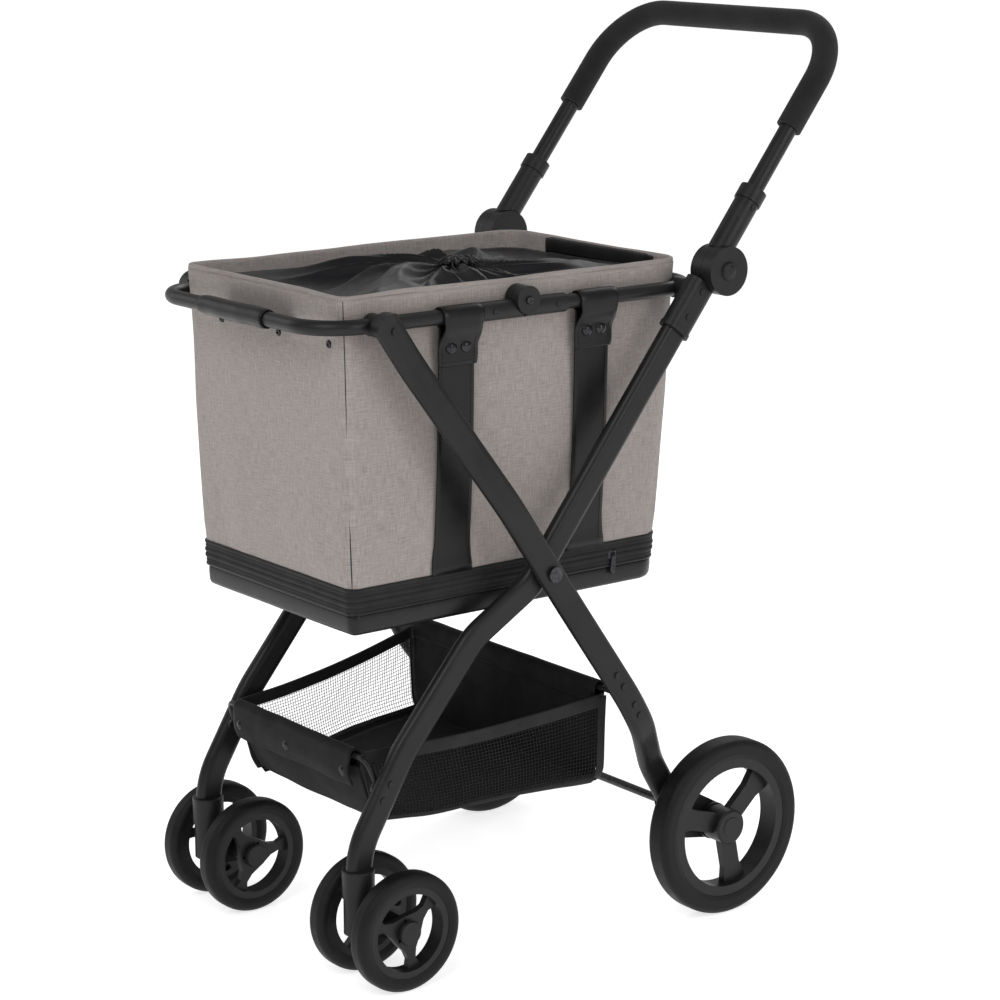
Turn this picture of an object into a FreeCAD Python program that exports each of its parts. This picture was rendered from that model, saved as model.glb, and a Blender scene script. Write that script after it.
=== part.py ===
import FreeCAD, Part
import math
import os

import Sketcher
from FreeCAD import Placement, Rotation, Vector

# Folding four-wheeled shopping trolley: a crossed-leg frame that carries a fabric bag in a
# folding rim, a mesh basket between the legs, and a hinged U-shaped handle.
#
# Working axes, in millimetres: X is the width (+X is the trolley's left side), Y the length
# (the front casters are at -Y, the handle at +Y) and Z is up from the floor. Every sub-part is
# drawn about the plane X = 0 and then set back by centre_shift, so that the origin lies on the
# floor under the middle of the whole trolley.

SIZES = [
    ("centre_shift", 37.45),
    # legs: flat oval tube, and the cross pivot that the two leg pairs share
    ("leg_depth", 31.0), ("leg_thickness", 16.0), ("pivot_y", -54.0), ("pivot_height", 431.0),
    ("front_leg_x", 188.0), ("rear_leg_x", 206.0), ("leg_lean", 52.0), ("front_leg_run", 345.0),
    ("rear_leg_lean", 124.34), ("pivot_bolt_radius", 4.0), ("running_clearance", 0.05),
    # handle, its joint on top of the front legs, and the push buttons
    ("handle_x", 189.0), ("handle_start", 416.0), ("handle_reach", 703.0), ("handle_bend", 73.0),
    ("handle_tube", 20.0), ("grip_tube", 29.0), ("grip_start", 566.0),
    ("joint_y", 191.0), ("joint_height", 730.0), ("joint_radius", 27.0), ("joint_gap", 0.4),
    ("button_radius", 10.0), ("button_travel", 3.0),
    # rim that holds the bag open, in two halves hinged at the middle of each side
    ("rim_x", 160.0), ("rim_height", 709.0), ("rim_tube", 16.0), ("rim_bend", 50.0),
    ("rim_front_reach", 308.0), ("rim_rear_reach", 195.0), ("rim_hinge_y", -56.0),
    ("rim_hinge_height", 718.0), ("rim_disc_radius", 15.0), ("rim_sleeve", 20.5),
    ("rim_sleeve_reach", 56.0), ("rim_front_start", 74.0), ("rim_rear_start", -38.0),
    ("rim_rear_pin_y", 163.0), ("rim_front_pin_y", -244.0),
    ("rim_lug_radius", 12.0),
    # rear wheels and their axle
    ("rear_tyre_radius", 101.5), ("rear_wheel_width", 30.0), ("rear_wheel_x", 219.0),
    ("axle_y", 189.0), ("axle_height", 101.5), ("axle_radius", 5.0),
    ("rear_rim_radius", 80.0), ("rear_opening_radius", 69.0), ("rear_hub_radius", 20.0),
    # swivelling front casters with twin wheels
    ("caster_x", 148.0), ("caster_y", -264.0), ("caster_trail", 33.0), ("front_tyre_radius", 65.5),
    ("front_wheel_width", 24.0), ("front_wheel_offset", 38.0), ("front_rim_radius", 50.0),
    ("front_opening_radius", 42.5), ("front_hub_radius", 13.5), ("stem_radius", 5.0),
    ("socket_radius", 17.5), ("socket_base", 100.0), ("socket_top", 131.0),
    # fabric bag
    ("bag_base_height", 381.0), ("bag_zip_base", 405.0), ("bag_zip_top", 431.0), ("bag_top", 740.0),
    ("bag_base_half", 141.0), ("bag_top_half", 148.8), ("bag_base_front", -262.0),
    ("bag_top_front", -276.0), ("bag_base_rear", 153.0), ("bag_top_rear", 178.0),
    ("bag_corner", 26.0),
    ("bag_front_corner", 9.0), ("bag_wall", 3.0), ("strap_width", 44.0), ("strap_thickness", 2.5),
    ("strap_front_y", -138.0), ("strap_rear_y", 43.0), ("flap_width", 124.0),
    # lower basket and the wire hoops that carry it
    ("basket_top", 248.0), ("basket_rear_top", 275.0), ("basket_base", 165.0),
    ("basket_front_half", 120.0), ("basket_rear_half", 177.0), ("basket_front", -238.0),
    ("basket_rear", 45.0), ("basket_front_taper", 2.0), ("basket_rear_taper", 5.0),
    ("basket_slant", 24.0), ("basket_wall", 2.4), ("hoop_radius", 3.0),
]

UP = Vector(0, 0, 1)
SIDEWAYS = Vector(1, 0, 0)

doc = FreeCAD.newDocument("ShoppingTrolley")
sheet = doc.addObject("Spreadsheet::Sheet", "Sizes")
for row, (name, value) in enumerate(SIZES, 1):
    sheet.set(f"A{row}", name)
    sheet.set(f"B{row}", str(value))
    sheet.setAlias(f"B{row}", name)
doc.recompute()

SIDES = (("left", 1), ("right", -1))
nodes = []


def size(name):
    """A driving dimension read from the sheet."""
    return float(sheet.get(name))


def set_back(obj):
    """Move a finished sub-part from the working axes to the trolley's own origin."""
    obj.Placement = Placement(Vector(0, -size("centre_shift"), 0), Rotation()).multiply(obj.Placement)
    nodes.append(obj)
    return obj


def shaped(label, shape):
    """A sub-part whose shape comes from Part's own functions."""
    obj = doc.addObject("Part::Feature", label)
    obj.Label = label
    obj.Shape = shape.removeSplitter()
    return set_back(obj)


def other_side(source, label):
    """The mirror image of a left-hand sub-part, for the right-hand side."""
    obj = doc.addObject("Part::Mirroring", label)
    obj.Label = label
    obj.Source = source
    obj.Base = Vector(0, 0, 0)
    obj.Normal = SIDEWAYS
    nodes.append(obj)
    return obj


# ---------------------------------------------------------------- sketch helpers


def new_body(label):
    body = doc.addObject("PartDesign::Body", label)
    body.Label = label
    return body


def new_sketch(body, name, role):
    """A sketch on one of the body's own origin planes."""
    support = next(f for f in body.Origin.OriginFeatures if f.Role == role)
    sketch = body.newObject("Sketcher::SketchObject", name)
    sketch.AttachmentSupport = (support, [""])
    sketch.MapMode = "FlatFace"
    return sketch


def measured(sketch, kind, references, value, formula):
    """A dimension of the sketch that follows the sheet."""
    index = sketch.addConstraint(Sketcher.Constraint(kind, *references, value))
    sketch.setExpression(f"Constraints[{index}]", formula)


def outline(sketch, corners):
    """A closed outline through corners, each a pair of formulas of the sheet's dimensions."""
    first = sketch.GeometryCount
    count = len(corners)
    turn = 2 * math.pi / count
    start = [Vector(60 + 9 * math.cos(turn * n), 9 * math.sin(turn * n), 0) for n in range(count)]
    for n in range(count):
        sketch.addGeometry(Part.LineSegment(start[n], start[(n + 1) % count]))
    for n in range(count):
        joined = (first + n, 2, first + (n + 1) % count, 1)
        sketch.addConstraint(Sketcher.Constraint("Coincident", *joined))
    for n, (across, along) in enumerate(corners):
        measured(sketch, "DistanceX", (-1, 1, first + n, 1), start[n].x, across)
        measured(sketch, "DistanceY", (-1, 1, first + n, 1), start[n].y, along)


def ring(sketch, radius, formula):
    """A circle about the sketch's origin."""
    index = sketch.addGeometry(Part.Circle(Vector(), UP, radius))
    sketch.addConstraint(Sketcher.Constraint("Coincident", index, 3, -1, 1))
    measured(sketch, "Radius", (index,), radius, formula)


def turned(label, corners):
    """A body of revolution about its own Y axis; corners are (radius, height) formulas."""
    body = new_body(label)
    sketch = new_sketch(body, label + "_profile", "XY_Plane")
    outline(sketch, corners)
    turn = body.newObject("PartDesign::Revolution", label + "_turn")
    turn.Profile = sketch
    turn.ReferenceAxis = (sketch, ["V_Axis"])
    turn.Angle = 360
    return body


def across(x, y, z):
    """Placement that lays a body's own Y axis along the trolley's width, at a point."""
    return Placement(Vector(x, y, z), Rotation(UP, -90))


def bent_tube(label, half_width, start, reach, bend, outer, inner=None):
    """A round tube bent to a U in its body's XY plane: two arms along Y joined by a bar."""
    body = new_body(label)
    path = new_sketch(body, label + "_path", "XY_Plane")
    wide, low, high, radius = (size(name) for name in (half_width, start, reach, bend))
    left, right = Vector(radius - wide, high - radius, 0), Vector(wide - radius, high - radius, 0)
    corner = Part.Circle(left, UP, radius), Part.Circle(right, UP, radius)
    path.addGeometry(Part.LineSegment(Vector(-wide, low, 0), Vector(-wide, high - radius, 0)))
    path.addGeometry(Part.ArcOfCircle(corner[0], math.pi / 2, math.pi))
    path.addGeometry(Part.LineSegment(Vector(left.x, high, 0), Vector(right.x, high, 0)))
    path.addGeometry(Part.ArcOfCircle(corner[1], 0, math.pi / 2))
    path.addGeometry(Part.LineSegment(Vector(wide, high - radius, 0), Vector(wide, low, 0)))
    for smooth in ((0, 2, 1, 2), (1, 1, 2, 1), (2, 2, 3, 2), (3, 1, 4, 1)):
        path.addConstraint(Sketcher.Constraint("Tangent", *smooth))
    path.addConstraint(Sketcher.Constraint("Vertical", 0))
    path.addConstraint(Sketcher.Constraint("Horizontal", 2))
    path.addConstraint(Sketcher.Constraint("Vertical", 4))
    path.addConstraint(Sketcher.Constraint("Equal", 1, 3))
    measured(path, "Radius", (1,), radius, f"Sizes.{bend}")
    measured(path, "DistanceX", (-1, 1, 4, 2), wide, f"Sizes.{half_width}")
    measured(path, "DistanceX", (0, 1, -1, 1), wide, f"Sizes.{half_width}")
    measured(path, "DistanceY", (-1, 1, 4, 2), low, f"Sizes.{start}")
    measured(path, "DistanceY", (-1, 1, 0, 1), low, f"Sizes.{start}")
    measured(path, "DistanceY", (-1, 1, 2, 1), high, f"Sizes.{reach}")
    section = new_sketch(body, label + "_section", "XZ_Plane")
    section.setExpression("AttachmentOffset.Base.z", f"-Sizes.{start}")
    for diameter in filter(None, (outer, inner)):
        radius = size(diameter) / 2
        index = section.addGeometry(Part.Circle(Vector(wide, 0, 0), UP, radius))
        section.addConstraint(Sketcher.Constraint("PointOnObject", index, 3, -1))
        measured(section, "Radius", (index,), radius, f"Sizes.{diameter} / 2")
        measured(section, "DistanceX", (-1, 1, index, 3), wide, f"Sizes.{half_width}")
    doc.recompute()
    pipe = body.newObject("PartDesign::AdditivePipe", label + "_pipe")
    pipe.Profile = section
    pipe.Spine = (path, [f"Edge{n}" for n in range(1, 6)])
    doc.recompute()
    return body


# ---------------------------------------------------------------- solid helpers


def rod(start, end, radius):
    """A cylinder from one point to another."""
    return Part.makeCylinder(radius, (end - start).Length, start, end - start)


def disc(x_from, x_to, y, z, radius):
    """A cylinder that lies across the trolley."""
    return rod(Vector(x_from, y, z), Vector(x_to, y, z), radius)


def block(low, high):
    """A box between two opposite corners."""
    return Part.makeBox(high.x - low.x, high.y - low.y, high.z - low.z, low)


def bent_path(points, radii):
    """Straight runs through points, joined by tangent arcs of the given radii."""
    edges = []
    here = points[0]
    for before, at, after, radius in zip(points, points[1:], points[2:], radii):
        back, on = (before - at).normalize(), (after - at).normalize()
        half = back.getAngle(on) / 2
        run = radius / math.tan(half)
        centre = at + (back + on).normalize() * (radius / math.sin(half))
        middle = centre + (at - centre).normalize() * radius
        edges.append(Part.LineSegment(here, at + back * run).toShape())
        edges.append(Part.Arc(at + back * run, middle, at + on * run).toShape())
        here = at + on * run
    edges.append(Part.LineSegment(here, points[-1]).toShape())
    return Part.Wire(edges)


def flat_oval(centre, along, depth, thickness):
    """The closed outline of a flat oval tube; its thickness lies across the trolley."""
    deep = SIDEWAYS.cross(along).normalize()
    thin = along.cross(deep).normalize()
    flat, round_end = deep * ((depth - thickness) / 2), thickness / 2
    corners = [centre + flat * end + thin * (side * round_end)
               for end, side in ((-1, -1), (1, -1), (1, 1), (-1, 1))]
    tips = [centre + deep * (depth / 2 * end) for end in (1, -1)]
    edges = [
        Part.LineSegment(corners[0], corners[1]).toShape(),
        Part.Arc(corners[1], tips[0], corners[2]).toShape(),
        Part.LineSegment(corners[2], corners[3]).toShape(),
        Part.Arc(corners[3], tips[1], corners[0]).toShape(),
    ]
    return Part.Wire(edges)


def oval_bar(path, depth, thickness):
    """A flat oval tube, closed at both ends, along a bent path."""
    edge = path.OrderedEdges[0]
    section = flat_oval(edge.valueAt(edge.FirstParameter), edge.tangentAt(edge.FirstParameter),
                        depth, thickness)
    return path.makePipeShell([section], True, False)


def wire_bar(path, radius):
    """A round wire along a bent path."""
    edge = path.OrderedEdges[0]
    section = Part.Wire(Part.makeCircle(radius, edge.valueAt(edge.FirstParameter),
                                        edge.tangentAt(edge.FirstParameter)))
    return path.makePipeShell([section], True, False)


def rounded_loop(half_width, front, rear, height, corner, front_corner=None):
    """A closed horizontal rectangle with round corners; the front ones may be tighter."""
    plate = Part.makePlane(2 * half_width, rear - front, Vector(-half_width, front, height))
    solid = plate.extrude(UP)
    uprights = [e for e in solid.Edges if abs(e.Vertexes[0].Z - e.Vertexes[-1].Z) > 0.5]
    at_rear = [e for e in uprights if e.CenterOfMass.y > (front + rear) / 2]
    top = solid.makeFillet(corner, at_rear)
    at_front = [e for e in top.Edges if abs(e.Vertexes[0].Z - e.Vertexes[-1].Z) > 0.5
                and abs(e.CenterOfMass.y - front) < 0.01]
    top = top.makeFillet(front_corner or corner, at_front)
    floor = min(top.Faces, key=lambda face: face.CenterOfMass.z)
    return floor.OuterWire


def tapered(low_loop, high_loop):
    """A solid between two round-cornered loops."""
    return Part.makeLoft([low_loop, high_loop], True, True)


# ---------------------------------------------------------------- legs

PIVOT = Vector(0, size("pivot_y"), size("pivot_height"))
FORE = Vector(0, math.cos(math.radians(size("leg_lean"))), math.sin(math.radians(size("leg_lean"))))
HIND_ANGLE = math.radians(size("rear_leg_lean"))
HIND = Vector(0, math.cos(HIND_ANGLE), math.sin(HIND_ANGLE))
DEPTH, THICK = size("leg_depth"), size("leg_thickness")
GAP = size("running_clearance")
BOLT = size("pivot_bolt_radius")


def front_leg():
    """The leg from the handle joint down and forward to a caster; it draws in under the bag."""
    out = Vector(size("front_leg_x"), 0, 0)
    foot_x, foot_y = size("caster_x"), size("caster_y") + 1
    points = [
        out + PIVOT + FORE * size("front_leg_run"),
        out + PIVOT - FORE * 19.5,
        Vector(foot_x + 2, -112, 358),
        Vector(foot_x, -205, 247),
        Vector(foot_x, foot_y, 150),
        Vector(foot_x, foot_y, size("socket_base") + 16),
    ]
    leg = oval_bar(bent_path(points, (45, 60, 150, 90)), DEPTH, THICK)
    return leg.cut(disc(out.x - THICK, out.x + THICK, PIVOT.y, PIVOT.z, BOLT))


REAR_LEG_END = 340


def rear_leg():
    """The leg from the rim's front corner down and back to the axle, outside the front leg."""
    out = Vector(size("rear_leg_x"), 0, 0)
    top = Vector(size("rim_x") + 22.5, 0, 0)
    points = [
        top + PIVOT + HIND * REAR_LEG_END,
        top + PIVOT + HIND * 285,
        out + PIVOT + HIND * 95,
        out + PIVOT - HIND * 40,
        Vector(215, 50, 275),
        Vector(215, 70, 240),
        Vector(188, 106, 184),
        Vector(188, 150, 110),
    ]
    leg = oval_bar(bent_path(points, (260, 260, 400, 400, 70, 70)), DEPTH, THICK)
    return leg.cut(disc(out.x - THICK, out.x + THICK, PIVOT.y, PIVOT.z, BOLT + GAP))


def pivot_bolt():
    """The bolt that both legs turn on: head, shank and the washer between the legs."""
    inner, outer = size("front_leg_x") - THICK / 2, size("rear_leg_x") + THICK / 2
    washer = disc(inner + THICK, outer - THICK - 0.3, PIVOT.y, PIVOT.z, 11)
    shank = disc(inner - 2, outer + 1, PIVOT.y, PIVOT.z, BOLT)
    head = disc(outer + 0.4, outer + 4, PIVOT.y, PIVOT.z, 8.5)
    tip = disc(inner - 5, inner - 0.3, PIVOT.y, PIVOT.z, 7)
    return washer.fuse([shank, head, tip])


def unplaced(obj):
    """A sub-part's shape in the working axes, for cutting its neighbours to fit it."""
    shape = obj.Shape.copy()
    shape.translate(Vector(0, size("centre_shift"), 0))
    return shape


def rivets(x, places, radius=4.0, rise=1.4):
    """Low round heads on the outer face of a leg at x, at (y, z) places."""
    return [disc(x - 4, x + rise, y, z, radius) for y, z in places]


front_leg_left = shaped("front_leg_left", front_leg().fuse(
    rivets(size("caster_x") + THICK / 2, ((-226, 218), (-236, 202)))))
FRONT_LEG = unplaced(front_leg_left)
rear_leg_left = shaped("rear_leg_left", rear_leg().fuse(
    rivets(212.7 + THICK / 2, ((29, 306),)) + rivets(213.6 + THICK / 2, ((38, 292),))
    + rivets(215 + THICK / 2, ((53, 269), (60, 256)))
    + rivets(size("rim_x") + 22.5 + THICK / 2, ((-241, 706),))))
REAR_LEG = unplaced(rear_leg_left)


def rear_leg_cap():
    """Moulded cap with a round end that closes the rear leg's top."""
    line = Vector(size("rim_x") + 22.5, 0, 0) + PIVOT
    foot, middle = line + HIND * REAR_LEG_END, line + HIND * (REAR_LEG_END - 7)
    block = Part.Face(flat_oval(foot, HIND, DEPTH + 1.5, THICK)).extrude(HIND * 14)
    return block.common(disc(foot.x - THICK, foot.x + THICK, middle.y, middle.z, DEPTH / 2 + 3))


pivot_bolt_left = shaped("pivot_bolt_left", pivot_bolt())
rear_leg_cap_left = shaped("rear_leg_cap_left", rear_leg_cap())

# ---------------------------------------------------------------- handle and its joints

JOINT = Vector(0, size("joint_y"), size("joint_height"))
JOINT_RADIUS = size("joint_radius")
SPLIT = size("front_leg_x") + 5.6
JOINT_FACE = SPLIT + 16.4


def lower_joint():
    """Sleeve over the front leg's top that ends in the inner disc of the handle joint."""
    x = size("front_leg_x")
    start = Vector(x, 0, 0) + PIVOT + FORE * 300
    sleeve = Part.Face(flat_oval(start, FORE, DEPTH + 6, THICK + 6)).extrude(FORE * 84)
    lift = SIDEWAYS.cross(FORE)
    notch = [Vector(x - 20, 0, 0) + JOINT + FORE * along + lift * up
             for along, up in ((-24, 1), (40, 1), (40, 40), (-24, 40))]
    sleeve = sleeve.cut(Part.Face(Part.makePolygon(notch + notch[:1])).extrude(SIDEWAYS * 40))
    lip = Part.Face(flat_oval(start, FORE, DEPTH + 8, THICK + 8)).extrude(FORE * 5)
    plate = disc(x - 11, SPLIT, JOINT.y, JOINT.z, JOINT_RADIUS)
    turning_room = disc(SPLIT, SPLIT + 30, JOINT.y, JOINT.z, JOINT_RADIUS + 0.8)
    screws = [rod(start + FORE * reach + SIDEWAYS * 10, start + FORE * reach + SIDEWAYS * 12, 3.6)
              for reach in (20, 52)]
    return sleeve.fuse([lip, plate] + screws).cut(turning_room).cut(FRONT_LEG)


def upper_joint():
    """Outer disc of the handle joint with the round sleeve that holds the handle's arm."""
    line = Vector(size("handle_x"), 0, 0) + PIVOT
    sleeve = rod(line + FORE * 388, line + FORE * 472, 14)
    collar = rod(line + FORE * 468, line + FORE * 484, 15.5)
    plate = disc(SPLIT + size("joint_gap"), JOINT_FACE, JOINT.y, JOINT.z, JOINT_RADIUS)
    screw = rod(line + FORE * 462 + SIDEWAYS * 12, line + FORE * 462 + SIDEWAYS * 15, 3.2)
    turning_room = disc(0, SPLIT + size("joint_gap"), JOINT.y, JOINT.z, JOINT_RADIUS + 0.8)
    arm = rod(line + FORE * size("handle_start"), line + FORE * 500, size("handle_tube") / 2)
    pocket = disc(JOINT_FACE - 8, JOINT_FACE + 1, JOINT.y, JOINT.z, size("button_radius") + 0.3)
    return sleeve.fuse([collar, plate, screw]).cut(turning_room).cut(arm).cut(pocket)


def along_handle():
    """Placement of the handle's own plane: its Y axis runs up the arms."""
    return Placement(PIVOT, Rotation(SIDEWAYS, size("leg_lean")))


lower_joint_left = shaped("joint_lower_left", lower_joint())
upper_joint_left = shaped("joint_upper_left", upper_joint())

handle_tube = bent_tube("handle_tube", "handle_x", "handle_start", "handle_reach", "handle_bend",
                        "handle_tube")
handle_tube.Placement = along_handle()
handle_grip = bent_tube("handle_grip", "handle_x", "grip_start", "handle_reach", "handle_bend",
                        "grip_tube", "handle_tube")
handle_grip.Placement = along_handle()
set_back(handle_tube)
set_back(handle_grip)

button_left = turned("joint_button_left", [
    ("0", "-4"), ("Sizes.button_radius", "-4"), ("Sizes.button_radius", "0.4"),
    ("Sizes.button_radius - 1", "1.4"), ("Sizes.button_radius - 3.5", "1.4"),
    ("Sizes.button_radius - 5", "2.6"), ("0", "2.6")])
button_left.Placement = across(JOINT_FACE, JOINT.y, JOINT.z)
set_back(button_left)

# ---------------------------------------------------------------- rim

HINGE = Vector(0, size("rim_hinge_y"), size("rim_hinge_height"))
RIM = size("rim_x")
RIM_Z = size("rim_height")
RIM_SPLIT = RIM + 2.2
DISC = size("rim_disc_radius")

LEG_FACE = size("front_leg_x") - THICK / 2


def rim_half(label, start, reach, pin_y, lug_end, facing):
    """Half of the rim: a bent tube with a lug on each arm, beside the leg that carries it."""
    body = bent_tube(label, "rim_x", start, reach, "rim_bend", "rim_tube")
    for side_name, side in SIDES:
        lug = body.newObject("PartDesign::AdditiveCylinder", f"{label}_lug_{side_name}")
        lug.setExpression("Radius", "Sizes.rim_lug_radius")
        lug.Height = lug_end - (RIM - 6)
        inner_end = side * lug_end if side < 0 else side * (RIM - 6)
        lug.Placement = Placement(Vector(inner_end, facing * pin_y, 0), Rotation(Vector(0, 1, 0), 90))
        doc.recompute()
    body.Placement = Placement(Vector(0, 0, RIM_Z), Rotation(UP, 0 if facing > 0 else 180))
    return body


rim_tube_front = rim_half("rim_tube_front", "rim_front_start", "rim_front_reach",
                          size("rim_front_pin_y"), RIM + 13.4, -1)
set_back(rim_tube_front)
rim_tube_rear = rim_half("rim_tube_rear", "rim_rear_start", "rim_rear_reach",
                         size("rim_rear_pin_y"), RIM + 12.4, 1)
for side_name, side in SIDES:
    eye = rim_tube_rear.newObject("PartDesign::SubtractiveCylinder", f"rim_eye_{side_name}")
    eye.setExpression("Radius", "Sizes.pivot_bolt_radius + Sizes.running_clearance")
    eye.Height = 4.4
    inner_end = -(RIM + 12.9) if side < 0 else RIM + 8.5
    eye.Placement = Placement(
        Vector(inner_end, size("rim_rear_pin_y"), 0), Rotation(Vector(0, 1, 0), 90))
    doc.recompute()
set_back(rim_tube_rear)


def rim_knuckle(toward, plate, room, tube):
    """Sleeve on a rim tube with the half of the side hinge that it carries."""
    end, near = HINGE.y + toward * size("rim_sleeve_reach"), HINGE.y + toward * 2
    sleeve = rod(Vector(RIM, near, RIM_Z), Vector(RIM, end, RIM_Z), size("rim_sleeve") / 2)
    screw = disc(RIM + 9.4, RIM + 11.2, HINGE.y + toward * 42, RIM_Z, 3.2)
    return sleeve.fuse([plate, screw]).cut(room).cut(tube)


def rim_plate(x_from, x_to, radius):
    return disc(x_from, x_to, HINGE.y, HINGE.z, radius)


PIN = 3.0
PIN_END = RIM + 11


def rim_knuckles():
    """The front knuckle's inner plate and pin, and the rear knuckle's plate outside them."""
    inner = rim_knuckle(-1, rim_plate(RIM - 9, RIM_SPLIT, DISC),
                        rim_plate(RIM_SPLIT, RIM + 30, DISC + 0.6), unplaced(rim_tube_front))
    outer = rim_knuckle(1, rim_plate(RIM_SPLIT + 0.3, PIN_END + 2.4, DISC),
                        rim_plate(RIM - 30, RIM_SPLIT + 0.3, DISC + 0.6), unplaced(rim_tube_rear))
    pin_hole = rim_plate(RIM, PIN_END + 0.4, PIN + GAP)
    return inner.fuse(rim_plate(RIM, PIN_END, PIN)), outer.cut(pin_hole)


front_knuckle, rear_knuckle = rim_knuckles()
rim_knuckle_front_left = shaped("rim_knuckle_front_left", front_knuckle)
rim_knuckle_rear_left = shaped("rim_knuckle_rear_left", rear_knuckle)


def rim_bracket():
    """Pad and pin on the front leg's inner face, on which the rim's rear half turns."""
    y = size("rim_rear_pin_y")
    pad = disc(RIM + 12.8, LEG_FACE, y, RIM_Z, size("rim_lug_radius"))
    pin = disc(RIM + 9, RIM + 14, y, RIM_Z, BOLT)
    return pad.fuse(pin).cut(FRONT_LEG).cut(unplaced(lower_joint_left))


rim_bracket_left = shaped("rim_bracket_left", rim_bracket())

# ---------------------------------------------------------------- wheels


def soften(body, radius, fillet_radius):
    """Round off the circular edges of a body of revolution that have the given radius."""
    doc.recompute()
    base = body.Tip
    names = [f"Edge{n}" for n, edge in enumerate(base.Shape.Edges, 1)
             if hasattr(edge.Curve, "Radius") and abs(edge.Curve.Radius - radius) < 0.01]
    fillet = body.newObject("PartDesign::Fillet", body.Name + "_fillet")
    fillet.Base = (base, names)
    fillet.Radius = fillet_radius
    doc.recompute()


def tyre(label, outer, inner, width):
    """A smooth solid tyre with round shoulders and a slight step down to the wheel's rim."""
    half = f"Sizes.{width} / 2"
    body = turned(label, [
        (f"Sizes.{inner}", f"1.5 - {half}"), (f"Sizes.{inner} + 5", f"-{half}"),
        (f"Sizes.{outer}", f"-{half}"), (f"Sizes.{outer}", half),
        (f"Sizes.{inner} + 5", half), (f"Sizes.{inner}", f"{half} - 1.5")])
    soften(body, size(outer), 8)
    return body


def wheel_rim(label, hub, spoke, opening, outer, width, spoke_width):
    """Hub with a blind bore, three flat spokes and the ring that carries the tyre."""
    body = turned(label, hub)
    doc.recompute()
    spoke_sketch = new_sketch(body, label + "_spoke", "XZ_Plane")
    outline(spoke_sketch, spoke)
    arm = body.newObject("PartDesign::Pad", label + "_arm")
    arm.Profile = spoke_sketch
    arm.Midplane = True
    arm.Length = spoke_width
    doc.recompute()
    pattern = body.newObject("PartDesign::PolarPattern", label + "_arms")
    pattern.Originals = [arm]
    pattern.Axis = (spoke_sketch, ["N_Axis"])
    pattern.Angle = 360
    pattern.Occurrences = 3
    body.Tip = pattern
    doc.recompute()
    ring_sketch = new_sketch(body, label + "_ring", "XZ_Plane")
    ring(ring_sketch, size(outer), f"Sizes.{outer}")
    ring(ring_sketch, size(opening), f"Sizes.{opening}")
    band = body.newObject("PartDesign::Pad", label + "_band")
    band.Profile = ring_sketch
    band.Midplane = True
    band.setExpression("Length", f"Sizes.{width} - 4")
    doc.recompute()
    return body


def spun(x, y, z, spin, outward=1):
    """Placement of a wheel on its axle, with its capped side outward and its spokes turned."""
    return across(x, y, z).multiply(Placement(
        Vector(), Rotation(UP, 0 if outward > 0 else 180))).multiply(
            Placement(Vector(), Rotation(Vector(0, 1, 0), spin)))


AXLE = Vector(0, size("axle_y"), size("axle_height"))
REAR_HUB = [("Sizes.axle_radius + Sizes.running_clearance", "-13"),
            ("Sizes.rear_hub_radius", "-13"), ("Sizes.rear_hub_radius", "12"),
            ("Sizes.rear_hub_radius - 2", "14"), ("12", "14"), ("11", "15"), ("0", "15"),
            ("0", "11"), ("Sizes.axle_radius + Sizes.running_clearance", "11")]
FRONT_HUB = [("Sizes.pivot_bolt_radius + Sizes.running_clearance", "-11"),
             ("Sizes.front_hub_radius - 2", "-11"), ("Sizes.front_hub_radius - 2", "9"),
             ("Sizes.front_hub_radius", "9"), ("Sizes.front_hub_radius - 1", "11.5"),
             ("0", "11.5"), ("0", "10"),
             ("Sizes.pivot_bolt_radius + Sizes.running_clearance", "10")]
REAR_SPOKE = [("-11", "16"), ("11", "16"), ("11", "50"), ("17", "Sizes.rear_opening_radius + 3"),
              ("-17", "Sizes.rear_opening_radius + 3"), ("-11", "50")]
FRONT_SPOKE = [("-16", "8"), ("16", "8"), ("7", "22"), ("4.5", "32"), ("9", "44"), ("-9", "44"),
               ("-4.5", "32"), ("-7", "22")]

rear_tyre_left = tyre("rear_tyre_left", "rear_tyre_radius", "rear_rim_radius", "rear_wheel_width")
rear_tyre_left.Placement = spun(size("rear_wheel_x"), AXLE.y, AXLE.z, 0)
set_back(rear_tyre_left)
rear_wheel_left = wheel_rim("rear_wheel_left", REAR_HUB, REAR_SPOKE, "rear_opening_radius",
                            "rear_rim_radius", "rear_wheel_width", 9)
rear_wheel_left.Placement = spun(size("rear_wheel_x"), AXLE.y, AXLE.z, -48)
set_back(rear_wheel_left)

rear_axle = doc.addObject("Part::Cylinder", "rear_axle")
rear_axle.Label = "rear_axle"
rear_axle.setExpression("Radius", "Sizes.axle_radius")
rear_axle.setExpression("Height", "2 * Sizes.rear_wheel_x + 21")
rear_axle.Placement = Placement(
    Vector(-size("rear_wheel_x") - 10.5, AXLE.y, AXLE.z), Rotation(Vector(0, 1, 0), 90))
set_back(rear_axle)
doc.recompute()


def axle_bracket():
    """Moulded end of the rear leg: a sleeve over the tube and the boss that holds the axle."""
    foot = Vector(188, 150, 110)
    down = (foot - Vector(188, 106, 184)).normalize()
    sleeve = Part.Face(flat_oval(foot - down * 34, down, DEPTH + 6, THICK + 6)).extrude(down * 44)
    boss = disc(177, 203, AXLE.y, AXLE.z, 21)
    web_corners = [Vector(178, y, z) for y, z in ((146, 150), (197, 121), (189, 80.5), (150, 88))]
    web = Part.Face(Part.makePolygon(web_corners + web_corners[:1])).extrude(SIDEWAYS * 20)
    return sleeve.fuse([boss, web]).cut(REAR_LEG).cut(unplaced(rear_axle))


axle_bracket_left = shaped("axle_bracket_left", axle_bracket())

# ---------------------------------------------------------------- casters

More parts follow.
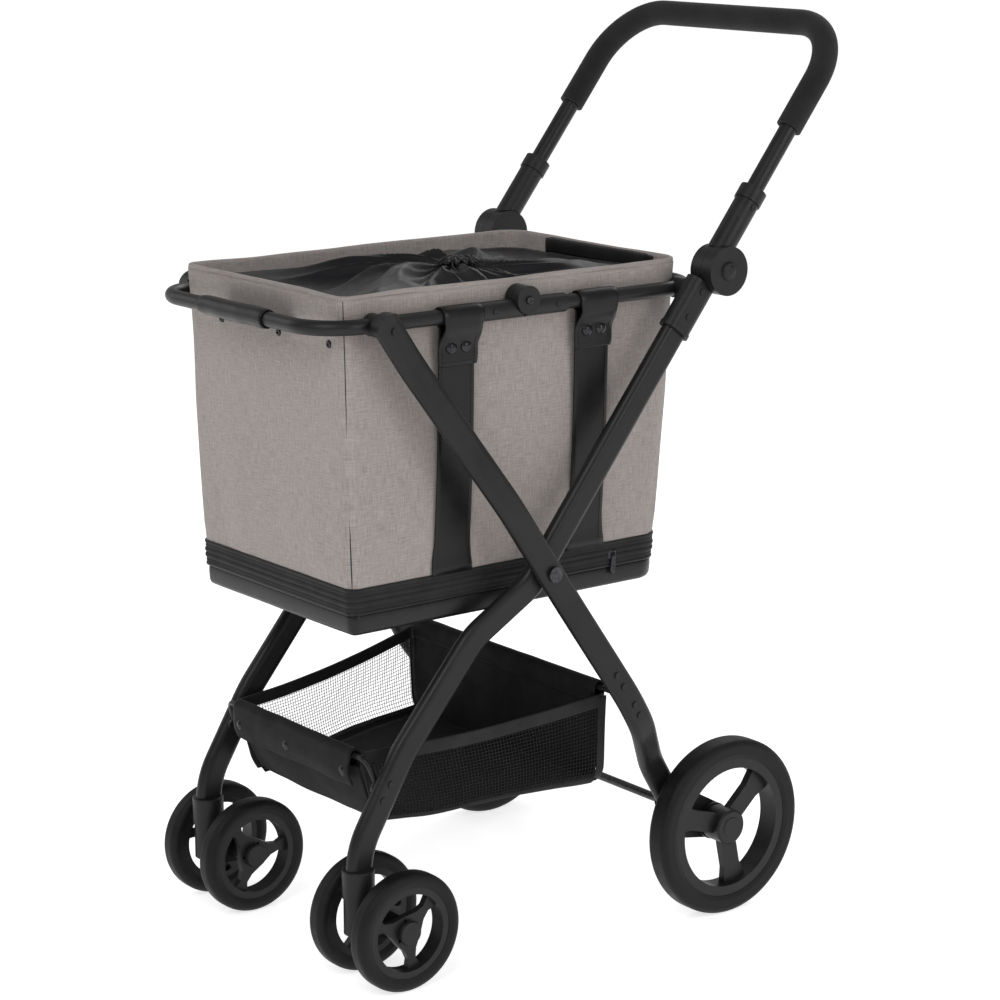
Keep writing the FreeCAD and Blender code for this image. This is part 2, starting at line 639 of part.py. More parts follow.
SWIVEL = Vector(size("caster_x"), size("caster_y"), 0)
SOCKET_BASE, SOCKET_TOP = size("socket_base"), size("socket_top")
WHEEL_Z = size("front_tyre_radius")


def caster_socket():
    """Round housing on the front leg's foot that takes the caster's stem."""
    outside = rod(SWIVEL + UP * SOCKET_BASE, SWIVEL + UP * SOCKET_TOP, size("socket_radius"))
    edges = [edge for edge in outside.Edges if abs(edge.CenterOfMass.z - SOCKET_TOP) < 0.1
             and edge.Closed]
    bore = rod(SWIVEL + UP * (SOCKET_BASE - 1), SWIVEL + UP * (SOCKET_BASE + 16),
               size("stem_radius") + GAP)
    return outside.makeFillet(1.8, edges).cut(FRONT_LEG).cut(bore)


def caster_fork():
    """Swivelling fork between the twin wheels, with its stem and the wheels' axle."""
    axle = Vector(0, SWIVEL.y + size("caster_trail"), WHEEL_Z)
    head = rod(SWIVEL + UP * 60, SWIVEL + UP * (SOCKET_BASE - 0.5), 16)
    stem = rod(SWIVEL + UP * 90, SWIVEL + UP * (SOCKET_BASE + 15.4), size("stem_radius"))
    corners = [Vector(SWIVEL.x - 13, SWIVEL.y + y, z) for y, z in (
        (-4, 92), (14, 92), (42, 74), (46, 62), (33, 50), (12, 52), (-4, 70))]
    arm = Part.Face(Part.makePolygon(corners + corners[:1])).extrude(SIDEWAYS * 26)
    boss = disc(SWIVEL.x - 22, SWIVEL.x + 22, axle.y, axle.z, 12)
    reach = size("front_wheel_offset") + 9.5
    pin = disc(SWIVEL.x - reach, SWIVEL.x + reach, axle.y, axle.z, BOLT)
    return head.fuse([stem, arm, boss, pin])


caster_socket_left = shaped("caster_socket_left", caster_socket())
caster_fork_left = shaped("caster_fork_left", caster_fork())
pairs = [
    (front_leg_left, "front_leg"), (rear_leg_left, "rear_leg"), (pivot_bolt_left, "pivot_bolt"),
    (rear_leg_cap_left, "rear_leg_cap"), (lower_joint_left, "joint_lower"),
    (upper_joint_left, "joint_upper"), (button_left, "joint_button"),
    (rim_knuckle_front_left, "rim_knuckle_front"), (rim_knuckle_rear_left, "rim_knuckle_rear"),
    (rim_bracket_left, "rim_bracket"), (rear_tyre_left, "rear_tyre"),
    (rear_wheel_left, "rear_wheel"),
    (axle_bracket_left, "axle_bracket"), (caster_socket_left, "caster_socket"),
    (caster_fork_left, "caster_fork"),
]
for place, outward in (("outer", 1), ("inner", -1)):
    x = size("caster_x") + outward * size("front_wheel_offset")
    y = size("caster_y") + size("caster_trail")
    spin = -49 if outward > 0 else -35
    front_tyre = tyre(f"front_tyre_{place}_left", "front_tyre_radius", "front_rim_radius",
                      "front_wheel_width")
    front_tyre.Placement = spun(x, y, WHEEL_Z, 0, outward)
    front_rim = wheel_rim(f"front_wheel_{place}_left", FRONT_HUB, FRONT_SPOKE,
                          "front_opening_radius", "front_rim_radius", "front_wheel_width", 8)
    front_rim.Placement = spun(x, y, WHEEL_Z, spin, outward)
    pairs.append((set_back(front_tyre), f"front_tyre_{place}"))
    pairs.append((set_back(front_rim), f"front_wheel_{place}"))

# ---------------------------------------------------------------- fabric bag


def bag_loop(height, inset=0.0):
    """The bag's outline at a height; it widens evenly from its base to its top edge."""
    low, high = size("bag_base_height"), size("bag_top")
    share = (height - low) / (high - low)
    half, front, rear = (
        size(f"bag_base_{side}") + share * (size(f"bag_top_{side}") - size(f"bag_base_{side}"))
        for side in ("half", "front", "rear"))
    return rounded_loop(half - inset, front + inset, rear - inset, height,
                        size("bag_corner") - inset, size("bag_front_corner") - inset)


def bag_wall(low, high):
    """A band of the bag's four walls between two heights."""
    inset = size("bag_wall")
    return tapered(bag_loop(low), bag_loop(high)).cut(
        tapered(bag_loop(low - 1, inset), bag_loop(high + 1, inset)))


def bag_side(height):
    """Half the bag's width at a height."""
    low, high = size("bag_base_height"), size("bag_top")
    share = (height - low) / (high - low)
    return size("bag_base_half") + share * (size("bag_top_half") - size("bag_base_half"))


ZIP_BASE, ZIP_TOP, BAG_TOP = size("bag_zip_base"), size("bag_zip_top"), size("bag_top")
BAG_BASE = size("bag_base_height")
bag_shell = shaped("bag_shell", bag_wall(ZIP_TOP, BAG_TOP))
bag_zip = shaped("bag_zip", bag_wall(ZIP_BASE, ZIP_TOP))
bag_base = shaped("bag_base", tapered(bag_loop(BAG_BASE), bag_loop(ZIP_BASE)).cut(
    tapered(bag_loop(BAG_BASE + 4, size("bag_wall")), bag_loop(ZIP_BASE + 1, size("bag_wall")))))


def strap_face(z):
    """Inner face of a strap, taut between the zip and the rim tube, at a height."""
    share = (z - ZIP_TOP) / (RIM_Z - 8 - ZIP_TOP)
    low = bag_side(ZIP_TOP) + 0.8
    return low + share * (RIM - 1 - low)


def strap():
    """A carrying strap: a loop round the rim tube, a tab, and a band down the bag's side."""
    thick = size("strap_thickness")
    ring_out, ring_in = size("rim_tube") / 2 + 2.4, size("rim_tube") / 2 + 0.4
    tab_foot, tab_head = RIM_Z - 53, RIM_Z - 10
    tab_points = [Vector(RIM + ring_out - 0.6, 0, RIM_Z - 4),
                  Vector(strap_face(tab_foot) + 2 * thick, 0, tab_foot),
                  Vector(strap_face(tab_foot) + thick - 0.1, 0, tab_foot),
                  Vector(strap_face(tab_head) + thick - 0.1, 0, tab_head)]
    band_points = [Vector(strap_face(z) + extra, 0, z) for z, extra in (
        (ZIP_TOP + 2, 0), (RIM_Z - 8, 0), (RIM_Z - 8, thick), (ZIP_TOP + 2, thick))]
    tab_width = size("strap_width") + 6
    lengthways = Vector(0, 1, 0)
    tab = Part.Face(Part.makePolygon(tab_points + tab_points[:1])).extrude(lengthways * tab_width)
    band = Part.Face(Part.makePolygon(band_points + band_points[:1])).extrude(
        lengthways * size("strap_width"))
    band.translate(lengthways * 3)
    eye = rod(Vector(RIM, 0, RIM_Z), Vector(RIM, tab_width, RIM_Z), ring_out)
    hole = rod(Vector(RIM, -1, RIM_Z), Vector(RIM, tab_width + 1, RIM_Z), ring_in)
    shape = eye.fuse([tab, band]).cut(hole)
    shape.translate(lengthways * (-tab_width / 2))
    return shape


for place in ("front", "rear"):
    band = strap()
    band.translate(Vector(0, size(f"strap_{place}_y"), 0))
    pairs.append((shaped(f"strap_{place}_left", band), f"strap_{place}"))


def rim_flap():
    """A flap sewn to the bag's front that wraps the rim's front tube."""
    y, radius = -size("rim_front_reach"), size("rim_tube") / 2
    half = size("flap_width") / 2
    face = size("bag_top_front") + 1.2
    tail_points = [Vector(-half, *place) for place in (
        (y, RIM_Z - radius - 2.4), (face - 0.8, RIM_Z - 18), (face - 0.8, RIM_Z - 15.5),
        (y + 2, RIM_Z - radius))]
    tail = Part.Face(Part.makePolygon(tail_points + tail_points[:1])).extrude(SIDEWAYS * 2 * half)
    wrap = disc(-half, half, y, RIM_Z, radius + 2.4)
    return wrap.fuse(tail).cut(disc(-half - 1, half + 1, y, RIM_Z, radius + 0.4))


rim_flap_front = shaped("rim_flap_front", rim_flap())


def bag_liner():
    """The drawstring liner inside the bag's mouth, gathered up to one point."""
    border = bag_loop(BAG_TOP - 22, size("bag_wall") + 1.5)
    gather = rounded_loop(14, -14, 14, BAG_TOP - 4, 9)
    gather.translate(Vector(27, -43, 0))
    outside = tapered(border, gather)
    inside = outside.copy()
    inside.translate(UP * -3)
    return outside.cut(inside)


bag_liner_top = shaped("bag_liner", bag_liner())

cord_lock = doc.addObject("Part::Box", "cord_lock")
cord_lock.Label = "cord_lock"
cord_lock.Length = 22
cord_lock.Width = 13
cord_lock.Height = 11
cord_lock.Placement = Placement(Vector(16, -49.5, BAG_TOP - 3.5), Rotation())
set_back(cord_lock)

# ---------------------------------------------------------------- lower basket

BASKET_TOP, BASKET_BASE = size("basket_top"), size("basket_base")
REAR_TOP = size("basket_rear_top")
FRONT_BAR = Vector(0, size("basket_front") - 4, BASKET_TOP - 6)
REAR_BAR = Vector(0, size("basket_rear") + 1, REAR_TOP + 3)


def basket_loop(front_half, rear_half, front, rear, front_z, rear_z):
    """A four-cornered loop that is wider at the rear and may slope up to it."""
    corners = [Vector(front_half, front, front_z), Vector(rear_half, rear, rear_z),
               Vector(-rear_half, rear, rear_z), Vector(-front_half, front, front_z)]
    return Part.makePolygon(corners + corners[:1])


def basket_tub():
    """The basket's whole skin: a floor, splayed sides, a sloping front and an upright rear."""
    slant, wall = size("basket_slant"), size("basket_wall")
    front, rear = size("basket_front"), size("basket_rear")
    front_top, rear_top = size("basket_front_half"), size("basket_rear_half")
    front_base = front_top - size("basket_front_taper")
    rear_base = rear_top - size("basket_rear_taper")
    outside = tapered(
        basket_loop(front_base, rear_base, front + slant, rear, BASKET_BASE, BASKET_BASE),
        basket_loop(front_top, rear_top, front, rear, BASKET_TOP, REAR_TOP))
    inside = tapered(
        basket_loop(front_base - wall, rear_base - wall, front + slant + wall, rear - wall,
                    BASKET_BASE + wall, BASKET_BASE + wall),
        basket_loop(front_top - wall, rear_top - wall, front + wall, rear - wall,
                    BASKET_TOP + 1, REAR_TOP + 1))
    return outside.cut(inside)


def basket_zone(corners):
    """A slab across the whole width, from a side outline of (y, z) corners."""
    points = [Vector(-200, y, z) for y, z in corners]
    return Part.Face(Part.makePolygon(points + points[:1])).extrude(SIDEWAYS * 400)


def hoop_sleeve(bar, half):
    """The hem that a basket panel wraps round its wire hoop."""
    radius = size("hoop_radius")
    return disc(-half, half, bar.y, bar.z, radius + 4.5), disc(
        -half - 1, half + 1, bar.y, bar.z, radius + 0.5)


front, rear, slant = size("basket_front"), size("basket_rear"), size("basket_slant")
front_zone = basket_zone(((front - 60, BASKET_TOP + 9), (front + 9, BASKET_TOP + 9),
                          (front + slant + 11, BASKET_BASE - 9), (front - 60, BASKET_BASE - 9)))
rear_zone = basket_zone(((rear + 60, REAR_TOP + 9), (rear - 9, REAR_TOP + 9),
                         (rear - 9, BASKET_BASE - 9), (rear + 60, BASKET_BASE - 9)))
tub = basket_tub()
front_hem, front_hole = hoop_sleeve(FRONT_BAR, 116)
rear_hem, rear_hole = hoop_sleeve(REAR_BAR, 172)
basket_mesh = shaped("basket_mesh", tub.cut(front_zone).cut(rear_zone))
basket_panel_front = shaped("basket_panel_front", tub.common(front_zone).fuse(front_hem).cut(front_hole))
basket_panel_rear = shaped("basket_panel_rear", tub.common(rear_zone).fuse(rear_hem).cut(rear_hole))


def basket_hoop(bar, corner_x, end, foot_radius, leg):
    """A wire hoop across the trolley, bent down to a foot on each leg."""
    points = [end, Vector(corner_x, bar.y, bar.z), Vector(-corner_x, bar.y, bar.z),
              Vector(-end.x, end.y, end.z)]
    wire = wire_bar(bent_path(points, (10, 10)), size("hoop_radius"))
    feet = [disc(side * end.x - 2, side * end.x + 2, end.y, end.z, foot_radius) for _, side in SIDES]
    return wire.fuse(feet).cut(leg).cut(leg.mirror(Vector(), SIDEWAYS))


basket_hoop_front = shaped("basket_hoop_front", basket_hoop(
    FRONT_BAR, 133, Vector(size("caster_x") - THICK / 2 - 1, -231, 211), 9, FRONT_LEG))
basket_hoop_rear = shaped("basket_hoop_rear", basket_hoop(
    REAR_BAR, 190, Vector(204.6, 45, 281), 9, REAR_LEG))

# ---------------------------------------------------------------- right-hand side and export

for source, stem in pairs:
    other_side(source, f"{stem}_right")
doc.recompute()

for obj in doc.Objects:
    if {"Invalid", "Error"} & set(obj.State):
        raise RuntimeError(f"{obj.Label} failed: {obj.State}")
for obj in nodes:
    if obj.Shape.isNull() or not obj.Shape.isValid() or len(obj.Shape.Solids) != 1:
        raise RuntimeError(f"{obj.Label}: {len(obj.Shape.Solids)} solids, valid {obj.Shape.isValid()}")

os.makedirs("parts", exist_ok=True)
for obj in nodes:
    obj.Shape.exportStep(os.path.join("parts", obj.Label + ".step"))
print(f"{len(nodes)} sub-parts written")
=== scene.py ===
import math
import random

import bmesh
import bpy
import numpy as np
from mathutils import Matrix, Vector, noise


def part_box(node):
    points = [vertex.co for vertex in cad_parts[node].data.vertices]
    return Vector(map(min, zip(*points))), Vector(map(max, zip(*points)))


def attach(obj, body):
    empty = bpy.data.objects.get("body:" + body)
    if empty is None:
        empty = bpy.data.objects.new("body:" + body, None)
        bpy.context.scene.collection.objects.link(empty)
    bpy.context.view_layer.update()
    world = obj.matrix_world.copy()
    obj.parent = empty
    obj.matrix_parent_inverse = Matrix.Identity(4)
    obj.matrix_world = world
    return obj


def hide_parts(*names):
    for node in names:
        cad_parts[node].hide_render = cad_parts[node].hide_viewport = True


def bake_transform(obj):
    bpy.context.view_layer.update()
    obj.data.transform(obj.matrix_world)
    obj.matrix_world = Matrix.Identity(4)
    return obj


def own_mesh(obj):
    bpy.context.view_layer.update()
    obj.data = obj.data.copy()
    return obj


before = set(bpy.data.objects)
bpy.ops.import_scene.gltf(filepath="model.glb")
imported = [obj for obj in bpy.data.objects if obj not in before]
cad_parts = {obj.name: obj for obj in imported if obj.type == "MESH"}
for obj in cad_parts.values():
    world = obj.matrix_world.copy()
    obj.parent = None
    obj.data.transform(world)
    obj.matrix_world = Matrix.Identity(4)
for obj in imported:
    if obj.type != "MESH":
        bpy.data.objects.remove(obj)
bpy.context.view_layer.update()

# Folding shopping trolley. Lengths are in metres, in the CAD model's own frame: X across,
# -Y the front, Z up.
SEED = 7
SIDES = (("left", 1), ("right", -1))
MM = 0.001

# ---- shader helpers


class Shader:
    """A procedural material, built one node at a time."""

    def __init__(self, name, **finish):
        self.material = bpy.data.materials.new(name)
        self.material.use_nodes = True
        self.tree = self.material.node_tree
        self.surface = self.tree.nodes["Principled BSDF"]
        for socket, value in finish.items():
            self.surface.inputs[socket.replace("_", " ")].default_value = value
        self.place = self.node("ShaderNodeTexCoord").outputs["Object"]

    def node(self, kind, **settings):
        made = self.tree.nodes.new(kind)
        for key, value in settings.items():
            setattr(made, key, value)
        return made

    def plug(self, value, socket):
        """Link another node's output to a socket, or set the socket's own value."""
        if isinstance(value, bpy.types.NodeSocket):
            self.tree.links.new(value, socket)
        else:
            socket.default_value = value

    def feed(self, made, **values):
        for key, value in values.items():
            self.plug(value, made.inputs[key.replace("_", " ")])
        return made

    def cloud(self, scale, detail=3.0, stretch=(1, 1, 1), place=None, rough=0.55):
        """A noise texture's value; stretch squeezes it along an axis."""
        moved = self.node("ShaderNodeVectorMath", operation="MULTIPLY")
        self.tree.links.new(place or self.place, moved.inputs[0])
        moved.inputs[1].default_value = stretch
        made = self.node("ShaderNodeTexNoise")
        self.feed(made, Vector=moved.outputs[0], Scale=scale, Detail=detail, Roughness=rough)
        return made.outputs["Fac"]

    def spread(self, value, low, high, to_low=0.0, to_high=1.0):
        """value, stretched from low..high to to_low..to_high."""
        made = self.node("ShaderNodeMapRange")
        self.feed(made, Value=value, From_Min=low, From_Max=high, To_Min=to_low, To_Max=to_high)
        return made.outputs["Result"]

    def sum(self, first, second, operation="ADD"):
        made = self.node("ShaderNodeMath", operation=operation)
        for socket, value in zip(made.inputs, (first, second)):
            self.plug(value, socket)
        return made.outputs[0]

    def wave(self, value, period):
        """A sine of a length, from -1 to 1."""
        return self.sum(self.sum(value, 2 * math.pi / period, "MULTIPLY"), 0.0, "SINE")

    def tint(self, share, first, second):
        """A colour between first and second."""
        made = self.node("ShaderNodeMix", data_type="RGBA")
        self.tree.links.new(share, made.inputs["Factor"])
        for socket, value in ((made.inputs[6], first), (made.inputs[7], second)):
            self.plug((*value, 1) if isinstance(value, tuple) else value, socket)
        return made.outputs[2]

    def ripple(self, place, axis, period, sharp=1.0):
        """Ridges of a period across an axis, from 0 to 1."""
        split = self.node("ShaderNodeSeparateXYZ")
        self.tree.links.new(place, split.inputs[0])
        return self.spread(self.wave(split.outputs[axis], period), -1, 1, 0, sharp)

    def relief(self, height, strength, distance):
        made = self.node("ShaderNodeBump")
        self.feed(made, Strength=strength, Distance=distance, Height=height)
        self.tree.links.new(made.outputs[0], self.surface.inputs["Normal"])

    def dress(self, **links):
        for key, value in links.items():
            self.tree.links.new(value, self.surface.inputs[key.replace("_", " ")])
        return self.material


def flat_place(shader):
    """The cloth's own coordinates, in metres across and up."""
    return shader.node("ShaderNodeUVMap", uv_map="Cloth").outputs[0]


def paint(name, dark, light, rough, grain, spots=26.0):
    """Painted or moulded surface: cloudy tone and gloss with a fine grain."""
    s = Shader(name, Specular_IOR_Level=0.24)
    tone = s.spread(s.cloud(spots), 0.3, 0.7)
    fine = s.cloud(grain, 2.0)
    gloss = s.sum(s.spread(tone, 0, 1, rough - 0.05, rough + 0.06),
                  s.spread(fine, 0.3, 0.7, -0.03, 0.03))
    s.relief(fine, 0.25, 0.25 * MM)
    return s.dress(Base_Color=s.tint(tone, dark, light), Roughness=gloss)


def foam():
    """Black closed-cell grip foam."""
    s = Shader("grip_foam", Specular_IOR_Level=0.18, Sheen_Weight=0.06, Sheen_Roughness=0.6)
    pores = s.cloud(1500.0, 3.0, rough=0.7)
    tone = s.spread(s.sum(s.cloud(30.0), pores, "MULTIPLY"), 0.15, 0.4)
    s.relief(pores, 0.5, 0.4 * MM)
    return s.dress(Base_Color=s.tint(tone, (0.008, 0.008, 0.009), (0.018, 0.018, 0.019)),
                   Roughness=s.spread(pores, 0.3, 0.7, 0.72, 0.9))


def rubber():
    """Matt tyre rubber, a little dusty."""
    s = Shader("tyre_rubber", Specular_IOR_Level=0.2)
    dust = s.spread(s.cloud(70.0, 5.0), 0.45, 0.75)
    grain = s.cloud(1300.0, 2.0)
    s.relief(grain, 0.3, 0.3 * MM)
    return s.dress(Base_Color=s.tint(dust, (0.005, 0.005, 0.0055), (0.011, 0.0105, 0.0105)),
                   Roughness=s.spread(dust, 0, 1, 0.5, 0.66))


def melange():
    """Warm grey melange canvas: slubby threads both ways, dark flecks and light flecks."""
    s = Shader("melange_cloth", Specular_IOR_Level=0.22, Sheen_Weight=0.18,
               Sheen_Roughness=0.55)
    flat = flat_place(s)
    upright = s.cloud(1.0, 5.0, (900, 60, 1), flat, 0.7)
    level = s.cloud(1.0, 5.0, (60, 1000, 1), flat, 0.7)
    threads = s.sum(s.spread(upright, 0.3, 0.7), s.spread(level, 0.3, 0.7))
    cloth = s.tint(s.spread(threads, 0.5, 1.5), (0.210, 0.184, 0.172), (0.360, 0.324, 0.308))
    dark_slub = s.spread(s.cloud(1.0, 2.0, (1500, 90, 1), flat), 0.62, 0.72, 0, 0.30)
    cloth = s.tint(dark_slub, cloth, (0.135, 0.113, 0.100))
    light_slub = s.spread(s.cloud(1.0, 2.0, (90, 1600, 1), flat), 0.62, 0.72, 0, 0.26)
    cloth = s.tint(light_slub, cloth, (0.48, 0.445, 0.42))
    patch = s.spread(s.cloud(7.0, 2.0), 0.35, 0.65, 0, 0.16)
    cloth = s.tint(patch, cloth, (0.315, 0.275, 0.255))
    weave = s.sum(s.ripple(flat, 0, 1.3 * MM), s.ripple(flat, 1, 1.3 * MM), "MULTIPLY")
    s.relief(s.sum(weave, threads), 0.3, 0.35 * MM)
    return s.dress(Base_Color=cloth, Roughness=s.spread(threads, 0.4, 1.6, 0.78, 0.93))


def woven(name, dark, light, rough, period, lift, sheen=0.12, folds=0.0):
    """Black woven cloth, with soft creases where folds is more than nothing."""
    s = Shader(name, Specular_IOR_Level=0.18, Sheen_Weight=0.5 * sheen, Sheen_Roughness=0.4)
    split = s.node("ShaderNodeSeparateXYZ")
    s.tree.links.new(s.place, split.inputs[0])
    run = s.sum(split.outputs[0], split.outputs[1])
    weave = s.sum(s.wave(run, period), s.wave(split.outputs[2], period), "MULTIPLY")
    tone = s.spread(s.sum(s.cloud(34.0, 4.0), s.spread(weave, -1, 1, 0, 0.35)), 0.35, 0.95)
    height = s.sum(s.spread(weave, -1, 1, 0, 0.3), s.sum(s.cloud(46.0, 4.0), folds, "MULTIPLY"))
    s.relief(height, 0.35, lift)
    return s.dress(Base_Color=s.tint(tone, dark, light),
                   Roughness=s.spread(s.cloud(60.0), 0.3, 0.7, rough - 0.06, rough + 0.06))


def leather(name, rough, dark, light):
    """Smooth black imitation leather with a fine pebble grain."""
    s = Shader(name, Specular_IOR_Level=0.24, Coat_Weight=0.03, Coat_Roughness=0.35)
    pebble = s.node("ShaderNodeTexVoronoi", feature="SMOOTH_F1")
    s.feed(pebble, Vector=s.place, Scale=900.0)
    wear = s.spread(s.cloud(38.0, 4.0), 0.35, 0.75)
    s.relief(s.sum(pebble.outputs["Distance"], s.cloud(55.0, 3.0)), 0.22, 0.5 * MM)
    return s.dress(Base_Color=s.tint(wear, dark, light),
                   Roughness=s.spread(wear, 0, 1, rough - 0.05, rough + 0.08))


def steel(name, dark, light, rough):
    """Blackened or bright metal hardware."""
    s = Shader(name, Metallic=0.9)
    tone = s.spread(s.cloud(240.0, 4.0), 0.3, 0.7)
    s.relief(s.cloud(1800.0), 0.12, 0.1 * MM)
    return s.dress(Base_Color=s.tint(tone, dark, light),
                   Roughness=s.spread(tone, 0, 1, rough - 0.05, rough + 0.08))


FRAME_PAINT = paint("frame_paint", (0.0085, 0.0085, 0.009), (0.0125, 0.0125, 0.0135), 0.36, 1500.0)
WIRE_PAINT = paint("wire_paint", (0.010, 0.010, 0.011), (0.016, 0.016, 0.017), 0.30, 1700.0)
JOINT_PLASTIC = paint("joint_plastic", (0.009, 0.009, 0.010), (0.014, 0.014, 0.015), 0.42,
                      1200.0, 50)
WHEEL_PLASTIC = paint("wheel_plastic", (0.010, 0.010, 0.011), (0.016, 0.016, 0.017), 0.40,
                      1300.0, 60)
GRIP_FOAM = foam()
TYRE_RUBBER = rubber()
MELANGE = melange()
COATING = leather("base_coating", 0.34, (0.007, 0.007, 0.0075), (0.013, 0.013, 0.0135))
LEATHERETTE = leather("strap_leatherette", 0.36, (0.0035, 0.0035, 0.004), (0.0075, 0.007, 0.007))
ZIP_TAPE = woven("zip_tape", (0.009, 0.009, 0.010), (0.020, 0.020, 0.021), 0.66, 1.4 * MM, 0.5 * MM)
LINER = woven("liner_nylon", (0.004, 0.004, 0.005), (0.009, 0.009, 0.011), 0.46, 1.2 * MM,
              0.8 * MM, 0.15, 1.2)
BASKET_CLOTH = woven("basket_cloth", (0.004, 0.004, 0.005), (0.009, 0.009, 0.010), 0.72,
                     1.5 * MM, 0.7 * MM, 0.12, 1.6)
BASKET_MESH = woven("basket_mesh", (0.010, 0.010, 0.011), (0.020, 0.020, 0.021), 0.6, 0.8 * MM,
                    0.2 * MM)
BINDING = woven("binding_tape", (0.010, 0.010, 0.011), (0.022, 0.022, 0.023), 0.62, 1.1 * MM,
                0.4 * MM)
STUD = steel("stud_metal", (0.022, 0.022, 0.024), (0.045, 0.045, 0.048), 0.2)
BOLT_STEEL = steel("bolt_steel", (0.03, 0.03, 0.032), (0.075, 0.075, 0.08), 0.3)
THREAD = woven("sewing_thread", (0.016, 0.016, 0.017), (0.035, 0.034, 0.034), 0.6, 0.5 * MM,
               0.2 * MM)
CLOTH_THREAD = woven("cloth_thread", (0.16, 0.135, 0.117), (0.27, 0.235, 0.21), 0.7, 0.5 * MM,
                     0.2 * MM)

# ---- mesh helpers


def piece(name, points, faces, material, uv=None):
    """A smooth-shaded mesh object in the frame's own coordinates."""
    mesh = bpy.data.meshes.new(name)
    mesh.from_pydata([tuple(map(float, p)) for p in points], [],
                     [tuple(map(int, f)) for f in faces])
    mesh.update()
    mesh.polygons.foreach_set("use_smooth", [True] * len(mesh.polygons))
    if uv is not None:
        layer = mesh.uv_layers.new(name="Cloth")
        layer.data.foreach_set("uv", np.asarray(uv, np.float32).ravel())
    made = bpy.data.objects.new(name, mesh)
    bpy.context.scene.collection.objects.link(made)
    made.data.materials.append(material)
    return made


def lattice(name, rows, material, around=False, closed=False, flat=None):
    """A surface through rows of points; around joins each row's ends, closed joins the last
    row to the first. flat gives each point's place on the uncut cloth."""
    rows = np.asarray(rows, float)
    count, width = rows.shape[:2]
    faces, uv = [], []
    wide = width if around else width - 1
    for r in range(count if closed else count - 1):
        below = (r + 1) % count
        for c in range(wide):
            beside = (c + 1) % width
            faces.append((r * width + c, r * width + beside, below * width + beside,
                          below * width + c))
            if flat is not None:
                end = flat[r][c + 1] if c + 1 < len(flat[r]) else flat[r][-1]
                low = flat[below][c + 1] if c + 1 < len(flat[below]) else flat[below][-1]
                uv.extend((flat[r][c], end, low, flat[below][c]))
    return piece(name, rows.reshape(-1, 3), faces, material, uv if flat is not None else None)


def tidy_normals(made):
    """Turn the faces of a closed mesh outward."""
    work = bmesh.new()
    work.from_mesh(made.data)
    bmesh.ops.recalc_face_normals(work, faces=work.faces)
    work.to_mesh(made.data)
    work.free()
    return made


def thicken(made, depth, offset=-1.0):
    """Give a sheet its thickness; offset -1 grows it behind its faces."""
    mod = made.modifiers.new("thickness", "SOLIDIFY")
    mod.thickness = depth
    mod.offset = offset
    return made


def join(name, made):
    """Several meshes of one material as one piece."""
    points, faces, start = [], [], 0
    for one in made:
        points.extend([v.co.copy() for v in one.data.vertices])
        faces.extend([[start + i for i in p.vertices] for p in one.data.polygons])
        start += len(one.data.vertices)
    material = made[0].data.materials[0]
    for one in made:
        bpy.data.objects.remove(one)
    return piece(name, points, faces, material)


def frames(path, side):
    """A path and its outward normal at each point, for a strip lying across side."""
    path = np.asarray(path, float)
    along = np.gradient(path, axis=0)
    along /= np.linalg.norm(along, axis=1)[:, None]
    out = np.cross(np.asarray(side, float)[None, :], along)
    return path, out / np.linalg.norm(out, axis=1)[:, None]


def capped(name, points, faces, ring, material):
    """A piece whose first and last rings of points are closed by flat faces."""
    last = len(points) - ring
    ends = [list(range(ring))[::-1], [last + k for k in range(ring)]]
    return tidy_normals(piece(name, points, faces + ends, material))


def closed_ends(name, made, ring, material):
    """The same tube-like mesh with both its ends closed."""
    points = [v.co.copy() for v in made.data.vertices]
    faces = [list(p.vertices) for p in made.data.polygons]
    bpy.data.objects.remove(made)
    return capped(name, points, faces, ring, material)


def strip(name, path, side, widths, depth, material, cup=0.0):
    """A flat strap along a path: rounded edges, closed ends, and a slight cup across it."""
    path, out = frames(path, side)
    side = np.asarray(side, float)
    widths = np.broadcast_to(np.asarray(widths, float), (len(path),))
    edge_steps, face_steps, bulge = 5, 8, 0.025
    profile = []
    for way in (1, -1):
        profile += [(way * (-1 + 2 * k / face_steps), way * 0.5) for k in range(face_steps + 1)]
        for k in range(1, edge_steps):
            turn = way * math.pi / 2 - math.pi * k / edge_steps
            profile.append((way + bulge * math.cos(turn), 0.5 * math.sin(turn)))
    rows = []
    for n, point in enumerate(path):
        half = widths[n] / 2
        rows.append([point + side * (a * half) + out[n] * (b * depth + cup * (a * a - 0.5))
                     for a, b in profile])
    made = lattice(name, np.asarray(rows), material, around=True)
    return closed_ends(name, made, len(profile), material)


def turned(name, profile, centre, axis, material, steps=28):
    """A lathed fitting; profile is (distance along axis, radius), starting and ending on it."""
    axis = Vector(axis).normalized()
    turn = axis.to_track_quat("Z", "Y").to_matrix()
    points, faces = [], []
    for along, radius in profile:
        for k in range(steps):
            a = 2 * math.pi * k / steps
            local = Vector((radius * math.cos(a), radius * math.sin(a), along))
            points.append(Vector(centre) + turn @ local)
    for r in range(len(profile) - 1):
        for k in range(steps):
            j = (k + 1) % steps
            faces.append((r * steps + k, r * steps + j, (r + 1) * steps + j, (r + 1) * steps + k))
    return capped(name, points, faces, steps, material)


